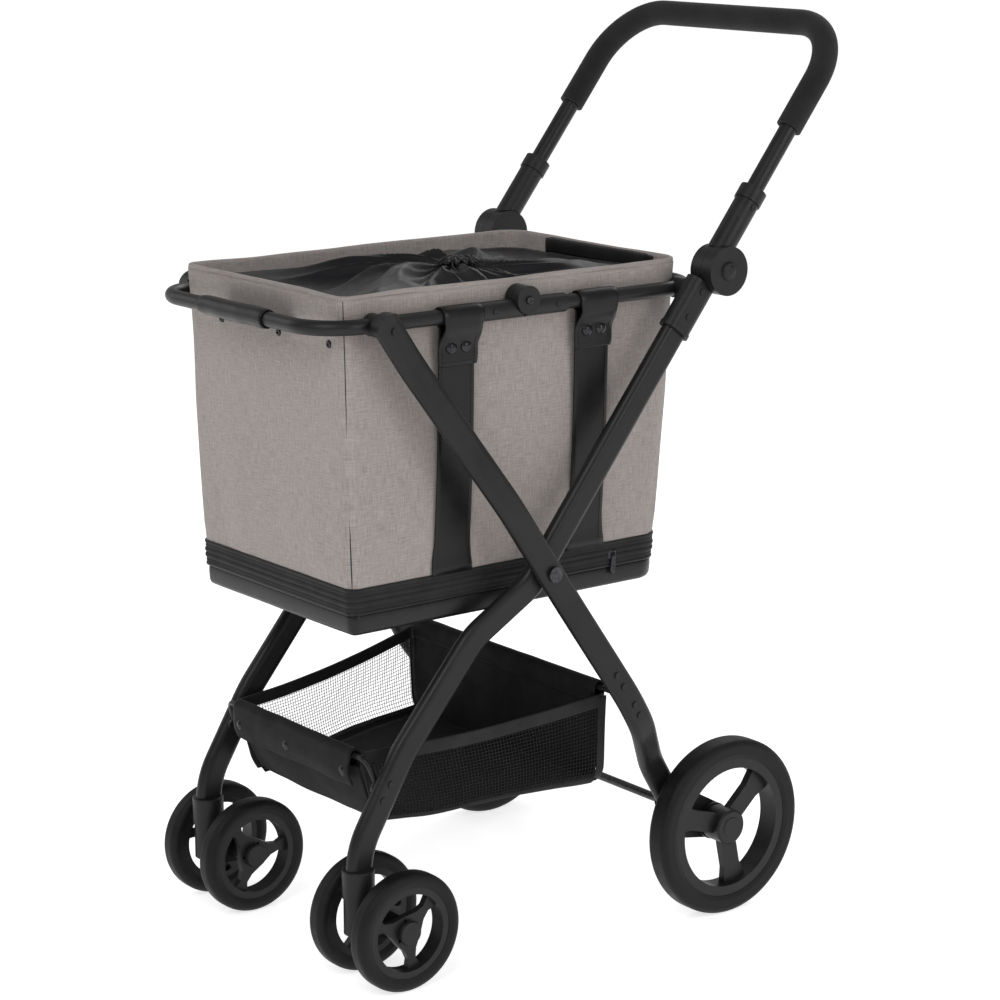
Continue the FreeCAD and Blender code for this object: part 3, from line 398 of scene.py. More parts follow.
def tube(name, path, radius, material, closed=False, sides=10):
    """A round cord or wire along a path of points."""
    path = np.asarray(path, float)
    if closed:
        along = np.roll(path, -1, 0) - np.roll(path, 1, 0)
    else:
        along = np.gradient(path, axis=0)
    along /= np.linalg.norm(along, axis=1)[:, None]
    rows = []
    for point, way in zip(path, along):
        helper = np.array((0, 0, 1.0)) if abs(way[2]) < 0.9 else np.array((0, 1.0, 0))
        first = np.cross(way, helper)
        first /= np.linalg.norm(first)
        second = np.cross(way, first)
        rows.append([point + radius * (first * math.cos(a) + second * math.sin(a))
                     for a in (2 * math.pi * k / sides for k in range(sides))])
    made = lattice(name, rows, material, around=True, closed=closed)
    return tidy_normals(made) if closed else closed_ends(name, made, sides, material)


def stitches(name, path, out, material, pitch=3.4 * MM, length=2.4 * MM, radius=0.45 * MM):
    """A row of sewn stitches along a path, each a small rounded bead of thread."""
    path = [Vector(p) for p in path]
    out = Vector(out).normalized()
    gaps = [(b - a).length for a, b in zip(path, path[1:])]
    total = sum(gaps)
    points, faces = [], []
    count = max(2, int(total / pitch))
    for n in range(count):
        want = (n + 0.5) * total / count
        k = 0
        while k < len(gaps) - 1 and want > gaps[k]:
            want -= gaps[k]
            k += 1
        way = (path[k + 1] - path[k]).normalized()
        centre = path[k] + way * want
        across = way.cross(out).normalized()
        start = len(points)
        rings = ((-0.5, 0.2), (-0.3, 0.9), (0.3, 0.9), (0.5, 0.2))
        for step, wide in rings:
            lift = radius * (0.4 + 0.5 * wide)
            for m in range(6):
                a = 2 * math.pi * m / 6
                points.append(centre + way * (step * length) + out * lift
                              + (across * math.cos(a) + out * math.sin(a)) * radius * wide)
        for r in range(len(rings) - 1):
            for m in range(6):
                j = (m + 1) % 6
                faces.append((start + r * 6 + m, start + r * 6 + j, start + r * 6 + 6 + j,
                              start + r * 6 + 6 + m))
        faces.append([start + m for m in range(6)][::-1])
        faces.append([start + 18 + m for m in range(6)])
    return tidy_normals(piece(name, points, faces, material))


def wander(x, y, z, scale, seed=0.0):
    """Smooth noise from -1 to 1."""
    return noise.noise(Vector((x * scale + seed, y * scale - seed, z * scale + 3.7 * seed)))


def bump(x, middle, reach):
    """A smooth hump of height 1 about middle."""
    t = min(1.0, abs(x - middle) / reach)
    return (1 - t * t) ** 2


# ---- the bag's own shape

SHELL_LO, SHELL_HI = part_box("bag_shell")
ZIP_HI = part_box("bag_zip")[1]
BASE_LO, BASE_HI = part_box("bag_base")
LINER_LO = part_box("bag_liner")[0]
BAG_TOP, BAG_LOW = SHELL_HI.z, BASE_HI.z
CORNERS = (26 * MM, 9 * MM, 9 * MM, 26 * MM)
FRONT_STEPS, SIDE_STEPS, CORNER_STEPS = 64, 96, 9


def bag_size(z):
    """Half width, front and rear of the bag's CAD walls at a height."""
    t = (z - BAG_LOW) / (BAG_TOP - BAG_LOW)
    mix = lambda a, b: a + t * (b - a)
    return mix(BASE_HI.x, SHELL_HI.x), mix(BASE_LO.y, SHELL_LO.y), mix(BASE_HI.y, SHELL_HI.y)


def loop_places():
    """Points round the bag as (side, share along it), in order, from the rear left corner."""
    places = []
    for n in range(4):
        steps = SIDE_STEPS if n % 2 == 0 else FRONT_STEPS
        places += [(n, "run", k / steps) for k in range(steps)]
        places += [(n, "turn", k / CORNER_STEPS) for k in range(CORNER_STEPS)]
    return places


PLACES = loop_places()


def bag_point(place, z, offset=0.0):
    """A point of the wall, its outward direction, and the offset beyond the CAD wall."""
    side, kind, share = place
    half, front, rear = bag_size(z)
    corners = [(half, rear), (half, front), (-half, front), (-half, rear)]
    inward = [(-1, -1), (-1, 1), (1, 1), (1, -1)]
    headings = [(1, 0), (0, -1), (-1, 0), (0, 1)]
    out = Vector((*headings[side], 0))
    nxt = (side + 1) % 4
    here, there = corners[side], corners[nxt]
    first = Vector((here[0], here[1], z))
    last = Vector((there[0], there[1], z))
    way = (last - first).normalized()
    if kind == "run":
        length = (last - first).length - CORNERS[side] - CORNERS[nxt]
        point = first + way * (CORNERS[side] + share * length)
        return point + out * offset, out
    round_off = CORNERS[nxt]
    centre = Vector((there[0] + inward[nxt][0] * round_off,
                     there[1] + inward[nxt][1] * round_off, z))
    a = share * math.pi / 2
    direction = out * math.cos(a) + way * math.sin(a)
    return centre + direction * (round_off + offset), direction


def slack(point, direction):
    """How far the cloth stands off its flat wall: gentle belly, and soft upright folds low down."""
    z = point.z
    height = (z - ZIP_HI.z) / (BAG_TOP - ZIP_HI.z)
    along = point.x if abs(direction.y) > 0.7 else point.y
    belly = 1.6 * MM * math.sin(math.pi * min(1, max(0, height)))
    low = bump(height, 0.0, 0.62)
    folds = wander(along * 1.0, 0, z * 0.16, 26, 2.1 + 3 * round(direction.x) + round(direction.y))
    soft = wander(point.x, point.y, z * 0.5, 9, 5.3)
    pull = -2.4 * MM * bump(height, 0.78, 0.3) * (1 - abs(wander(along, 0, 0, 7, 1.0)))
    seam = -0.8 * MM if 0.25 < abs(direction.x) < 0.97 else 0.0
    sewn = min(1.0, max(0.0, height) / 0.07)
    return belly + sewn * (low * 3.0 * MM * folds + 2.3 * MM * soft) + pull + seam


def bag_ring(z, offset=0.0, loose=1.0):
    """The bag's outline at a height, with its slack."""
    points = []
    for place in PLACES:
        point, direction = bag_point(place, z)
        points.append(point + direction * (offset + loose * slack(point, direction)))
    return points


def run_lengths(points):
    """Distance round a loop up to each point, and all the way."""
    total, found = 0.0, [0.0]
    for a, b in zip(points, points[1:] + points[:1]):
        total += (b - a).length
        found.append(total)
    return found


GIRTH = run_lengths(bag_ring(0.58, loose=0.0))


def bag_walls():
    """The melange cloth: one tall wall round the bag, sewn to the zip tape at its foot."""
    heights = np.linspace(ZIP_HI.z - 1.5 * MM, BAG_TOP - 5 * MM, 64)
    rows = [bag_ring(z) for z in heights]
    flat = [[(u, z) for u in GIRTH] for z in heights]
    made = lattice("bag_cloth", rows, MELANGE, around=True, flat=flat)
    thicken(made, 1.6 * MM)
    return made


def bag_collar():
    """The folded hem that stands above the rim, a little wavy along its top."""
    top, foot = BAG_TOP, BAG_TOP - 33 * MM
    profile = ([(0.7, foot + k * 9.0 * MM) for k in range(4)]
               + [(0.9, top - 3.5 * MM), (0.2, top - 1.0 * MM), (-1.6, top), (-3.4, top - 1.0 * MM),
                  (-4.2, top - 3.5 * MM)]
               + [(-4.2, top - (6 + 8 * k) * MM) for k in range(4)])
    rows, flat, fall = [], [], 0.0
    for n, (offset, z) in enumerate(profile):
        row = []
        for place in PLACES:
            point, direction = bag_point(place, z)
            sway = wander(point.x, point.y, 0, 13, 4.2)
            lean = bump(z, top, 24 * MM) * (1.9 * wander(point.x, point.y, 0, 17, 8.8) + 0.4) * MM
            base = slack(Vector((point.x, point.y, foot)), direction)
            point = point + direction * (offset * MM + base + lean)
            point.z += 1.7 * MM * sway * bump(z, top, 30 * MM)
            row.append(point)
        rows.append(row)
        if n:
            fall += abs(profile[n][1] - profile[n - 1][1]) + 0.4 * MM
        flat.append([(u, 2 + fall) for u in GIRTH])
    return lattice("bag_collar", rows, MELANGE, around=True, closed=True, flat=flat)


def welt(name, place, low, high, radius, material, reach=0.2 * MM):
    """A thin raised seam up the bag's wall."""
    path = []
    for z in np.linspace(low, high, 40):
        point, direction = bag_point(place, z)
        path.append(point + direction * (slack(point, direction) + reach))
    return tube(name, path, radius, material, sides=8)


def corner_seams():
    """Thin dark seams up the bag's four corners."""
    made = []
    for side in range(4):
        place = (side, "turn", 0.5)
        made.append(welt("seam", place, ZIP_HI.z, BAG_TOP - 6 * MM, 0.75 * MM,
                         BINDING, 0.9 * MM))
    return join("bag_corner_seams", made)


def zip_band():
    """Zip tape between the cloth and the base: two sewn edges, the covered coil, ribs."""
    low, high = BAG_LOW - 1 * MM, ZIP_HI.z + 1 * MM
    heights = np.linspace(low, high, 44)
    rows = []
    for z in heights:
        h = (z - low) / (high - low)
        offset = (0.2 + 1.0 * bump(h, 0.96, 0.07) + 1.5 * bump(h, 0.62, 0.10)
                  + 1.5 * bump(h, 0.40, 0.10) + 0.6 * bump(h, 0.80, 0.05)
                  + 0.6 * bump(h, 0.20, 0.05) + 0.7 * bump(h, 0.08, 0.06)) * MM
        row = []
        for place in PLACES:
            point, direction = bag_point(place, z)
            wave = wander(point.x, point.y, 0, 16, 6.1)
            point = point + direction * (offset + 0.7 * MM * wave)
            point.z += 0.9 * MM * wave * bump(h, 0.5, 0.6)
            row.append(point)
        rows.append(row)
    return thicken(lattice("bag_zip_band", rows, ZIP_TAPE, around=True), 1.8 * MM)


def zip_slider():
    """Zip slider and its pull, at the rear of the left-hand side."""
    z = (BAG_LOW + ZIP_HI.z) / 2
    point, direction = bag_point((0, "run", 0.12), z)
    body = strip("slider", [point + direction * d * MM + Vector((0, y * MM, 0))
                            for d, y in ((1.6, -7), (3.6, -4), (3.9, 0), (3.6, 4), (1.6, 7))],
                 (0, 0, 1), 9 * MM, 1.6 * MM, STUD)
    pull = strip("pull", [point + direction * d * MM + Vector((0, 0, -h * MM))
                          for d, h in ((5.0, -2), (5.4, 3), (4.6, 9), (4.2, 16), (4.4, 22))],
                 (0, 1, 0), [5 * MM, 5 * MM, 6 * MM, 7 * MM, 6 * MM], 1.4 * MM, STUD)
    return join("bag_zip_slider", [body, pull])


def bag_bottom():
    """Coated base: a low skirt that turns under to a slightly sagging floor."""
    low, high = BASE_LO.z, BAG_LOW
    rows = []
    for z, offset in ((high, -0.3), (high - 4 * MM, 0.9), (high - 9 * MM, 1.3),
                      (low + 6 * MM, 1.0), (low + 2.4 * MM, -0.6), (low + 0.6 * MM, -3.4),
                      (low, -8.0)):
        row = []
        for place in PLACES:
            point, direction = bag_point(place, max(z, low))
            soft = wander(point.x, point.y, z, 12, 3.3)
            row.append(point + direction * (offset + 0.9 * soft) * MM)
        rows.append(row)
    middle = sum(rows[-1], Vector()) / len(rows[-1])
    for share in (0.12, 0.3, 0.55, 0.8, 0.96):
        rows.append([p.lerp(middle, share) + Vector((0, 0, 0.8 * MM)) * wander(p.x * (1 - share),
                     p.y * (1 - share), 0, 14, 1.0) for p in rows[6]])
    return thicken(lattice("bag_bottom", rows, COATING, around=True), 1.6 * MM, -1.0)


def pipings():
    """Cord-like piping at both edges of the zip band."""
    made = []
    for z, radius, reach in ((BAG_LOW + 0.5 * MM, 1.9 * MM, 1.3 * MM),
                             (ZIP_HI.z, 1.0 * MM, 0.9 * MM)):
        loop = []
        for place in PLACES:
            point, direction = bag_point(place, z)
            wave = wander(point.x, point.y, 0, 16, 6.1)
            loop.append(point + direction * (reach + 0.7 * MM * wave)
                        + Vector((0, 0, 0.5 * MM * wave)))
        made.append(tube("piping", loop, radius, COATING, closed=True, sides=8))
    return join("bag_piping", made)


def eyelets():
    """Small dark eyelets under the front rim."""
    made = []
    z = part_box("rim_tube_front")[0].z - 9 * MM
    for x in (-0.078, 0.030, 0.123):
        flat_half = bag_size(z)[0] - CORNERS[1]
        share = (flat_half - x) / (2 * flat_half)
        point, direction = bag_point((1, "run", share), z)
        point = point + direction * (slack(point, direction) + 1.8 * MM)
        profile = [(-1.0, 1.2), (0.6, 1.3), (1.3, 1.9), (1.6, 2.8), (1.2, 3.8), (0.2, 4.3),
                   (-1.0, 4.3)]
        made.append(turned("eyelet", [(a * MM, r * MM) for a, r in profile], point, direction,
                           STUD))
    return join("bag_eyelets", made)


def bar_tacks():
    """Clusters of sewn stitches at the ends of the front collar."""
    made = []
    z0 = BAG_TOP - 26 * MM
    for share in (0.04, 0.96, 0.30, 0.70):
        for n in range(3):
            path = []
            for k in range(2):
                point, direction = bag_point((1, "run", share), z0 + k * 14 * MM)
                point = point + direction * (slack(point, direction) + 0.9 * MM)
                path.append(point + Vector(((n - 1) * 3.2 * MM, 0, 0)))
            made.append(stitches("tack", path, direction, CLOTH_THREAD, 2.4 * MM, 2.0 * MM))
    return join("bag_bar_tacks", made)


def hem_stitching():
    """The line of stitches that holds the folded hem down, all round."""
    loop = []
    for place in PLACES + PLACES[:1]:
        point, direction = bag_point(place, BAG_TOP - 29 * MM)
        loop.append(point + direction * (slack(Vector((point.x, point.y, BAG_TOP - 33 * MM)),
                                               direction) + 0.75 * MM))
    made = []
    for n in range(4):
        outs = bag_point((n, "run", 0.5), BAG_TOP)[1]
        steps = SIDE_STEPS if n % 2 == 0 else FRONT_STEPS
        begin = sum((SIDE_STEPS if m % 2 == 0 else FRONT_STEPS) + CORNER_STEPS for m in range(n))
        made.append(stitches("hem", loop[begin:begin + steps], outs, CLOTH_THREAD, 4.2 * MM,
                             3.0 * MM, 0.4 * MM))
    return join("bag_hem_stitching", made)


# ---- liner and its gather

LOCK_LO, LOCK_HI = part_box("cord_lock")
GATHER = Vector(((LOCK_LO.x + LOCK_HI.x) / 2, (LOCK_LO.y + LOCK_HI.y) / 2 + 6 * MM, 0))


def liner_height(angle, share, point):
    """Folds of the gathered liner: broad billows outside, tight pleats near the gather."""
    turn = angle + 0.9 * share * share
    broad = 1 - abs(math.sin(3.5 * turn + 1.1 + 0.7 * math.sin(2 * angle)))
    middle = 1 - abs(math.sin(6.5 * turn + 0.4 + 0.9 * math.sin(3 * angle + 1)))
    tight = 1 - abs(math.sin(15.5 * turn + 0.8 * math.sin(5 * angle)))
    cloud = wander(point.x, point.y, 0, 11, 9.4)
    out = bump(share, 0.42, 0.55)
    return MM * (20 * broad * out + 13 * middle * bump(share, 0.62, 0.45)
                 + 6 * tight * bump(share, 0.85, 0.5) + 9 * cloud * bump(share, 0.35, 0.45))


def bag_liner():
    """Thin nylon liner, drawn up from the bag's walls to a gathered ruffle."""
    border_z = LINER_LO.z + 2 * MM
    rim = [bag_point(place, border_z, -4.6 * MM)[0] for place in PLACES]
    neck_z = LOCK_LO.z - 3 * MM
    rows, steps = [], 46
    for r in range(steps + 1):
        share = r / steps
        row = []
        for p in rim:
            angle = math.atan2(p.y - GATHER.y, p.x - GATHER.x)
            neck = GATHER + Vector((math.cos(angle), math.sin(angle), 0)) * 8 * MM
            ease = share ** 0.92
            x, y = p.x + (neck.x - p.x) * ease, p.y + (neck.y - p.y) * ease
            rise = (neck_z - border_z) * share ** 1.9
            sag = -7 * MM * math.sin(math.pi * share ** 0.8) * (0.8 + 0.6 * max(0, math.sin(angle)))
            lift = liner_height(angle, share, Vector((x, y, 0)))
            row.append(Vector((x, y, border_z + rise + sag + lift)))
        rows.append(row)
    ruffle = []
    for r, (reach, z) in enumerate(((7.5, 2), (8.5, 5), (11, 9), (15, 11), (19, 10), (21, 8))):
        row = []
        for p in rim:
            angle = math.atan2(p.y - GATHER.y, p.x - GATHER.x)
            crimp = math.sin(13 * angle + 1.3 * math.sin(2 * angle)) * (0.4 + 0.8 * r / 5)
            wide = reach + 2.6 * crimp + 3 * wander(math.cos(angle), math.sin(angle), 0, 1.7, 2.0)
            row.append(GATHER + Vector((math.cos(angle) * wide, math.sin(angle) * wide,
                                        0)) * MM + Vector((0, 0, neck_z + (z - 1.7 * crimp) * MM)))
        ruffle.append(row)
    made = lattice("bag_liner_cloth", rows + ruffle, LINER, around=True)
    return thicken(made, 0.7 * MM, 0.0)


def cord_lock():
    """Barrel-shaped cord lock with its push button, and the tail of drawcord."""
    centre = (LOCK_LO + LOCK_HI) / 2
    barrel = [(-7.5, 2.6), (-7.0, 4.0), (-5.6, 4.7), (0, 5.2), (4.4, 4.8), (5.0, 4.2), (5.2, 2.9),
              (7.0, 2.9), (7.6, 2.3)]
    made = turned("cord_lock_body", [(a * MM, r * MM) for a, r in barrel], centre, (1, 0.25, 0.1),
                  JOINT_PLASTIC)
    tails = []
    for k in (-1, 1):
        route = [centre + Vector(d) * MM for d in (
            (0, k * 2, -1), (3, k * 5, 2), (8, k * 9, 1), (15, k * 12 - 2, -4), (24, k * 15, -8),
            (31, k * 16 + 3, -9))]
        tails.append(tube("tail", smooth_path(route, 26), 1.1 * MM, THREAD, sides=8))
    return made, join("drawcord_tails", tails)


def smooth_path(points, count):
    """Points along a Catmull-Rom curve through the given ones."""
    pts = [points[0]] + list(points) + [points[-1]]
    found = []
    for n in range(count):
        t = n / (count - 1) * (len(points) - 1)
        k = min(int(t), len(points) - 2)
        t -= k
        a, b, c, d = (np.array(p, float) for p in pts[k:k + 4])
        found.append(0.5 * (2 * b + (c - a) * t + (2 * a - 5 * b + 4 * c - d) * t * t
                            + (3 * b - a - 3 * c + d) * t ** 3))
    return found


def rear_webbing():
    """Wide webbing band sewn along the inside of the bag's rear top edge."""
    z = BAG_TOP - 10 * MM
    rear = bag_size(z)[2]
    path = []
    for x in np.linspace(-0.083, 0.106, 40):
        ends = bump(x, -0.083, 0.01) + bump(x, 0.106, 0.01)
        sway = 1.6 * MM * wander(x, 0, 0, 22, 3.0)
        path.append((x, rear - 7.2 * MM + 1.2 * MM * ends + sway, z - 2 * MM * ends))
    band = strip("bag_rear_webbing", path, (0, 0, 1), 17 * MM, 1.8 * MM, LEATHERETTE, 0.5 * MM)
    return band


# ---- straps and rim flap


def strap_route(side, y):
    """The strap's line in x and z: up the bag's side, over the rim tube, down to its tab."""
    lo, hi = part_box(f"strap_front_{'left' if side > 0 else 'right'}")
    rim_x = max(abs(lo.x), abs(hi.x)) - 10.4 * MM
    rim_z = hi.z - 10.4 * MM
    low_z, high_z = ZIP_HI.z + 1 * MM, rim_z - 13 * MM
    low_x = abs(wall_at(side, y, low_z)[0].x) + 1.9 * MM
    high_x = rim_x - 5 * MM

    def taut(z):
        t = (z - low_z) / (high_z - low_z)
        return low_x + (high_x - low_x) * t + 3 * MM * math.sin(math.pi * t)

    path = [(taut(z) + 2.5 * MM * bump(z, low_z, 20 * MM), z)
            for z in np.linspace(low_z, high_z, 34)]
    wrap = 9.8 * MM
    for k in range(0, 15):
        a = math.pi * (1.04 - 1.08 * k / 14)
        path.append((rim_x + wrap * math.cos(a), rim_z + wrap * math.sin(a)))
    tab_end = rim_z - 53 * MM
    for z in np.linspace(rim_z - 10 * MM, tab_end, 14):
        t = bump(z, rim_z - 8 * MM, 26 * MM)
        path.append(((taut(z) + 3.4 * MM) * (1 - t) + (rim_x + wrap) * t, z))
    return path, tab_end, rim_z


def wall_at(side, y, z):
    """A point of the bag's left or right wall at a distance along it."""
    _, front, rear = bag_size(z)
    length = rear - front - CORNERS[0] - CORNERS[1]
    if side > 0:
        return bag_point((0, "run", (rear - CORNERS[0] - y) / length), z)
    return bag_point((2, "run", (y - front - CORNERS[2]) / length), z)


def strap(place, name, side):
    """One carrying strap with its rim loop, tab, two snaps and stitching."""
    node = f"strap_{place}_{name}"
    lo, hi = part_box(node)
    y = (lo.y + hi.y) / 2
    path, tab_end, rim_z = strap_route(side, y)
    widths, route = [], []
    for n, (x, z) in enumerate(path):
        route.append((side * x, y, z))
        if n < 34:
            neck = bump(z, rim_z - 16 * MM, 16 * MM)
            widths.append((45 - 2.5 * neck + 6 * bump(n, 0, 5)) * MM)
        else:
            widths.append((50 - 3.0 * bump(z, rim_z - 12 * MM, 12 * MM)
                           - 3 * bump(z, tab_end, 5 * MM)) * MM)
    main = strip(node + "_leather", route, (0, 1, 0), widths, 2.2 * MM, LEATHERETTE, 0.35 * MM)
    out = (side, 0, 0.03)
    snaps, threads = [], []
    snap_z = tab_end + 20 * MM
    face = path[-14 + 9][0] + 1.1 * MM
    for dy in (-9.5, 9.5):
        dome = [(-1.0, 3.0), (0.0, 6.6), (0.9, 7.0), (1.6, 6.2), (1.7, 5.2), (2.9, 4.3), (3.7, 2.8),
                (4.0, 1.0)]
        snaps.append(turned("snap", [(a * MM, r * MM) for a, r in dome],
                            (side * face, y + dy * MM, snap_z), out, STUD))
    edge = []
    for x, z in path[-11:]:
        edge.append((side * (x + 1.1 * MM), z))
    for dy in (-20.5, 20.5):
        threads.append(stitches("row", [(x, y + dy * MM, z) for x, z in edge], out, THREAD))
    low_z = edge[-1][1] + 4 * MM
    threads.append(stitches("row", [(edge[-2][0], y + dy * MM, low_z) for dy in
                                    np.linspace(-19, 19, 8)], out, THREAD))
    for dy in (-19.0, 19.0):
        line = [(side * (x + 1.15 * MM), y + dy * MM, z) for x, z in path[1:33]]
        threads.append(stitches("row", line, out, THREAD, 4.0 * MM, 2.8 * MM, 0.4 * MM))
    return main, join(node + "_snaps", snaps), join(node + "_stitching", threads)


def rim_flap():
    """Glossy sleeve sewn to the bag's front that wraps the rim's front tube."""
    lo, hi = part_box("rim_flap_front")
    centre_y, centre_z = lo.y + 10.4 * MM, hi.z - 10.4 * MM
    wrap = 9.6 * MM
    z_tail = lo.z + 6 * MM
    face = bag_size(z_tail)[1]
    path = [(face - 1.4 * MM, z_tail - 3 * MM), (face - 3.0 * MM, z_tail + 1 * MM),
            (face - 10 * MM, z_tail + 4 * MM), (face - 18 * MM, z_tail + 6 * MM)]
    for k in range(21):
        a = math.radians(-62 - 300 * k / 20)
        path.append((centre_y + wrap * math.cos(a), centre_z + wrap * math.sin(a)))
    path += [(face - 17 * MM, z_tail + 9.5 * MM), (face - 9 * MM, z_tail + 7.5 * MM),
             (face - 2.0 * MM, z_tail + 5 * MM)]
    half = (hi.x - lo.x) / 2
    across = np.linspace(-half, half, 40)
    rows = []
    for y, z in smooth_path(path, 90):
        row = []
        for x in across:
            ripple = 0.7 * MM * wander(x, y, z, 34, 4.0)
            pinch = 0.8 * MM * bump(abs(x), half, 8 * MM)
            row.append((x, y + ripple * 0.6, z + ripple - pinch * (1 if z > centre_z else -1)))
        rows.append(row)
    return thicken(lattice("rim_flap_sleeve", rows, LEATHERETTE), 1.7 * MM, 0.0)


# ---- lower basket

FRONT_LO, FRONT_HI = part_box("basket_panel_front")
REAR_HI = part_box("basket_panel_rear")[1]
BASKET_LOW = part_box("basket_mesh")[0].z
HOOP_FRONT = Vector((0, FRONT_LO.y + 7.5 * MM, FRONT_HI.z - 7.5 * MM))
HOOP_REAR = Vector((0, REAR_HI.y - 7.5 * MM, REAR_HI.z - 7.5 * MM))
FRONT_HALF, REAR_HALF = FRONT_HI.x - 1.8 * MM, REAR_HI.x
FRONT_TAPER, REAR_TAPER = 2 * MM, 5 * MM
SLANT = 24 * MM


def basket_spot(u, share):
    """Half width, y and z of the basket's side: u from front to rear, share up its height."""
    top_half = FRONT_HALF + (REAR_HALF - FRONT_HALF) * u
    half = top_half - (1 - share) * (FRONT_TAPER + (REAR_TAPER - FRONT_TAPER) * u)
    front = HOOP_FRONT.y + 4 * MM + SLANT * (1 - share)
    rear = HOOP_REAR.y - 1 * MM
    top = HOOP_FRONT.z + 6 * MM + (HOOP_REAR.z - HOOP_FRONT.z - 9 * MM) * u
    droop = 6 * MM * bump(u, 0.2, 0.5) * (1 - share)
    return half, front + (rear - front) * u, BASKET_LOW - droop + (top - BASKET_LOW) * share


def side_wall(side, rows, columns, low_share=0.0, high_share=1.0):
    """Points of a basket side between two shares of its height, bellied a little."""
    found = []
    for r in range(rows + 1):
        share = low_share + (high_share - low_share) * r / rows
        row = []
        for c in range(columns + 1):
            u = c / columns
            half, y, z = basket_spot(u, share)
            sag = -7 * MM * math.sin(math.pi * u) * share
            round_low = 14 * MM * (1 - min(1, share / 0.22)) ** 2
            belly = 4.5 * MM * math.sin(math.pi * u) * math.sin(math.pi * min(1, share + 0.15))
            slackness = 1.8 * MM * wander(y, z, side, 14, 2.7)
            hem = -3 * MM * max(0, wander(y, 0, side, 19, 6.6)) * (1 - share)
            row.append((side * (half - round_low + belly + slackness), y, z + sag + hem))
        found.append(row)
    return found


def open_mesh(name, side):
    """Netting in the basket's side: real square holes about 4 mm apart."""
    rows = side_wall(side, 20, 72, 0.06, 0.86)
    made = lattice(name, rows, BASKET_MESH)
    wires = made.modifiers.new("threads", "WIREFRAME")
    wires.thickness = 0.95 * MM
    wires.use_even_offset = False
    wires.use_boundary = True
    return made


def solid_side(name, side):
    """Cloth band at the foot of the side, which turns in under the floor."""
    rows = side_wall(side, 6, 60, 0.0, 0.09)
    return thicken(lattice(name, rows, BASKET_CLOTH), 1.1 * MM, 0.0)


def side_bindings(name, side):
    """Bound top edge of the netting, and the tape that joins it to the cloth band."""
    made = []
    for share, wide, deep in ((0.91, 14 * MM, 2.2 * MM), (0.08, 7 * MM, 1.6 * MM)):
        line = side_wall(side, 1, 60, share, share + 0.001)[0]
        made.append(strip("tape", line, (0, 0, 1), wide, deep, BINDING, 0.2 * MM))
    ends = []
    for u in (0, -1):
        rows = side_wall(side, 20, 60, 0.05, 0.95)
        line = [row[u] for row in rows]
        ends.append(strip("tape", line, (0, 1, 0), 10 * MM, 1.8 * MM, BINDING))
    return join(name, made + ends)


def basket_floor():
    """Cloth floor of the basket, sagging a little between its sides."""
    rows = []
    steps, columns = 48, 34
    for r in range(steps + 1):
        u = r / steps
        row = []
        for c in range(columns + 1):
            v = 2 * c / columns - 1
            half, y, low = basket_spot(u, 0)
            x = v * (half - 13 * MM)
            sag = 4 * MM * (1 - v * v) * math.sin(math.pi * u ** 0.7)
            edge = 0.6 * MM * abs(v) ** 6
            z = low + 4.2 * MM - sag + 1.3 * MM * wander(x, y, 0, 16, 7.0) + edge
            row.append((x, y, z))
        rows.append(row)
    return thicken(lattice("basket_floor", rows, BASKET_CLOTH), 1.1 * MM, 0.0)


def end_panel(name, hoop, way, low_y, flap_drop, seed, halves):
    """Cloth end of the basket: a flap folded over the wire hoop, and the panel under it."""
    out = way
    hem = 7.0 * MM
    flap_half, top_half, low_half = halves
    path = [(hoop.y - out * 6 * MM, hoop.z - 16 * MM), (hoop.y - out * hem, hoop.z - 5 * MM)]
    for k in range(9):
        a = math.pi * k / 8
        path.append((hoop.y - out * hem * math.cos(a), hoop.z + hem * math.sin(a)))
    path += [(hoop.y + out * 8.0 * MM, hoop.z - 10 * MM),
             (hoop.y + out * 7.6 * MM, hoop.z - 22 * MM),
             (hoop.y + out * 3.0 * MM, hoop.z - flap_drop)]
    rows = []
    for y, z in smooth_path(path, 54):
        row = []
        for c in range(61):
            v = 2 * c / 60 - 1
            x = v * (flap_half + 2 * MM * bump(z, hoop.z, 12 * MM))
            low = bump(z, hoop.z - flap_drop, 22 * MM)
            wave = 3.0 * MM * wander(x, 0, 0, 20, seed) * low
            row.append((x, y + out * (wave + 1.2 * MM * wander(x, y, z, 30, seed + 1)),
                        z + 2.0 * MM * low * wander(x, 0, 0, 13, seed + 2)))
        rows.append(row)
    flap = thicken(lattice(name + "_flap", rows, BASKET_CLOTH), 1.6 * MM, 0.0)
    rows = []
    for r in range(31):
        t = r / 30
        row = []
        for c in range(61):
            v = 2 * c / 60 - 1
            side_half = top_half + (low_half - top_half) * t
            top = Vector((v * (side_half - 3 * MM), hoop.y - out * 1.2 * MM, hoop.z - 12 * MM))
            foot = Vector((v * (side_half - 12 * MM), low_y, BASKET_LOW + 3 * MM))
            point = top.lerp(foot, t)
            point.x = v * (side_half - 3 * MM - 9 * MM * t ** 6)
            puff = math.sin(math.pi * t) * (1 - v ** 4)
            folds = wander(point.x, 0, point.z, 18, seed + 4)
            point.y += out * (5.5 * MM * puff + 2.2 * MM * folds)
            point.z += 3.0 * MM * (v * v - 1) * t
            row.append(point)
        rows.append(row)
    panel = thicken(lattice(name + "_cloth", rows, BASKET_CLOTH), 1.1 * MM, 0.0)
    return flap, panel


def flap_snaps(name, hoop, way, places, drop):
    made = []
    for x in places:
        dome = [(-2.0, 3.2), (0.0, 6.4), (1.0, 6.8), (1.8, 6.0), (2.0, 5.0), (3.2, 3.9), (3.9, 2.2),
                (4.1, 0.8)]
        made.append(turned("snap", [(a * MM, r * MM) for a, r in dome],
                           (x, hoop.y + way * 6.4 * MM, hoop.z - drop), (0, way, 0.15), STUD))
    return join(name, made)


# ---- small hardware


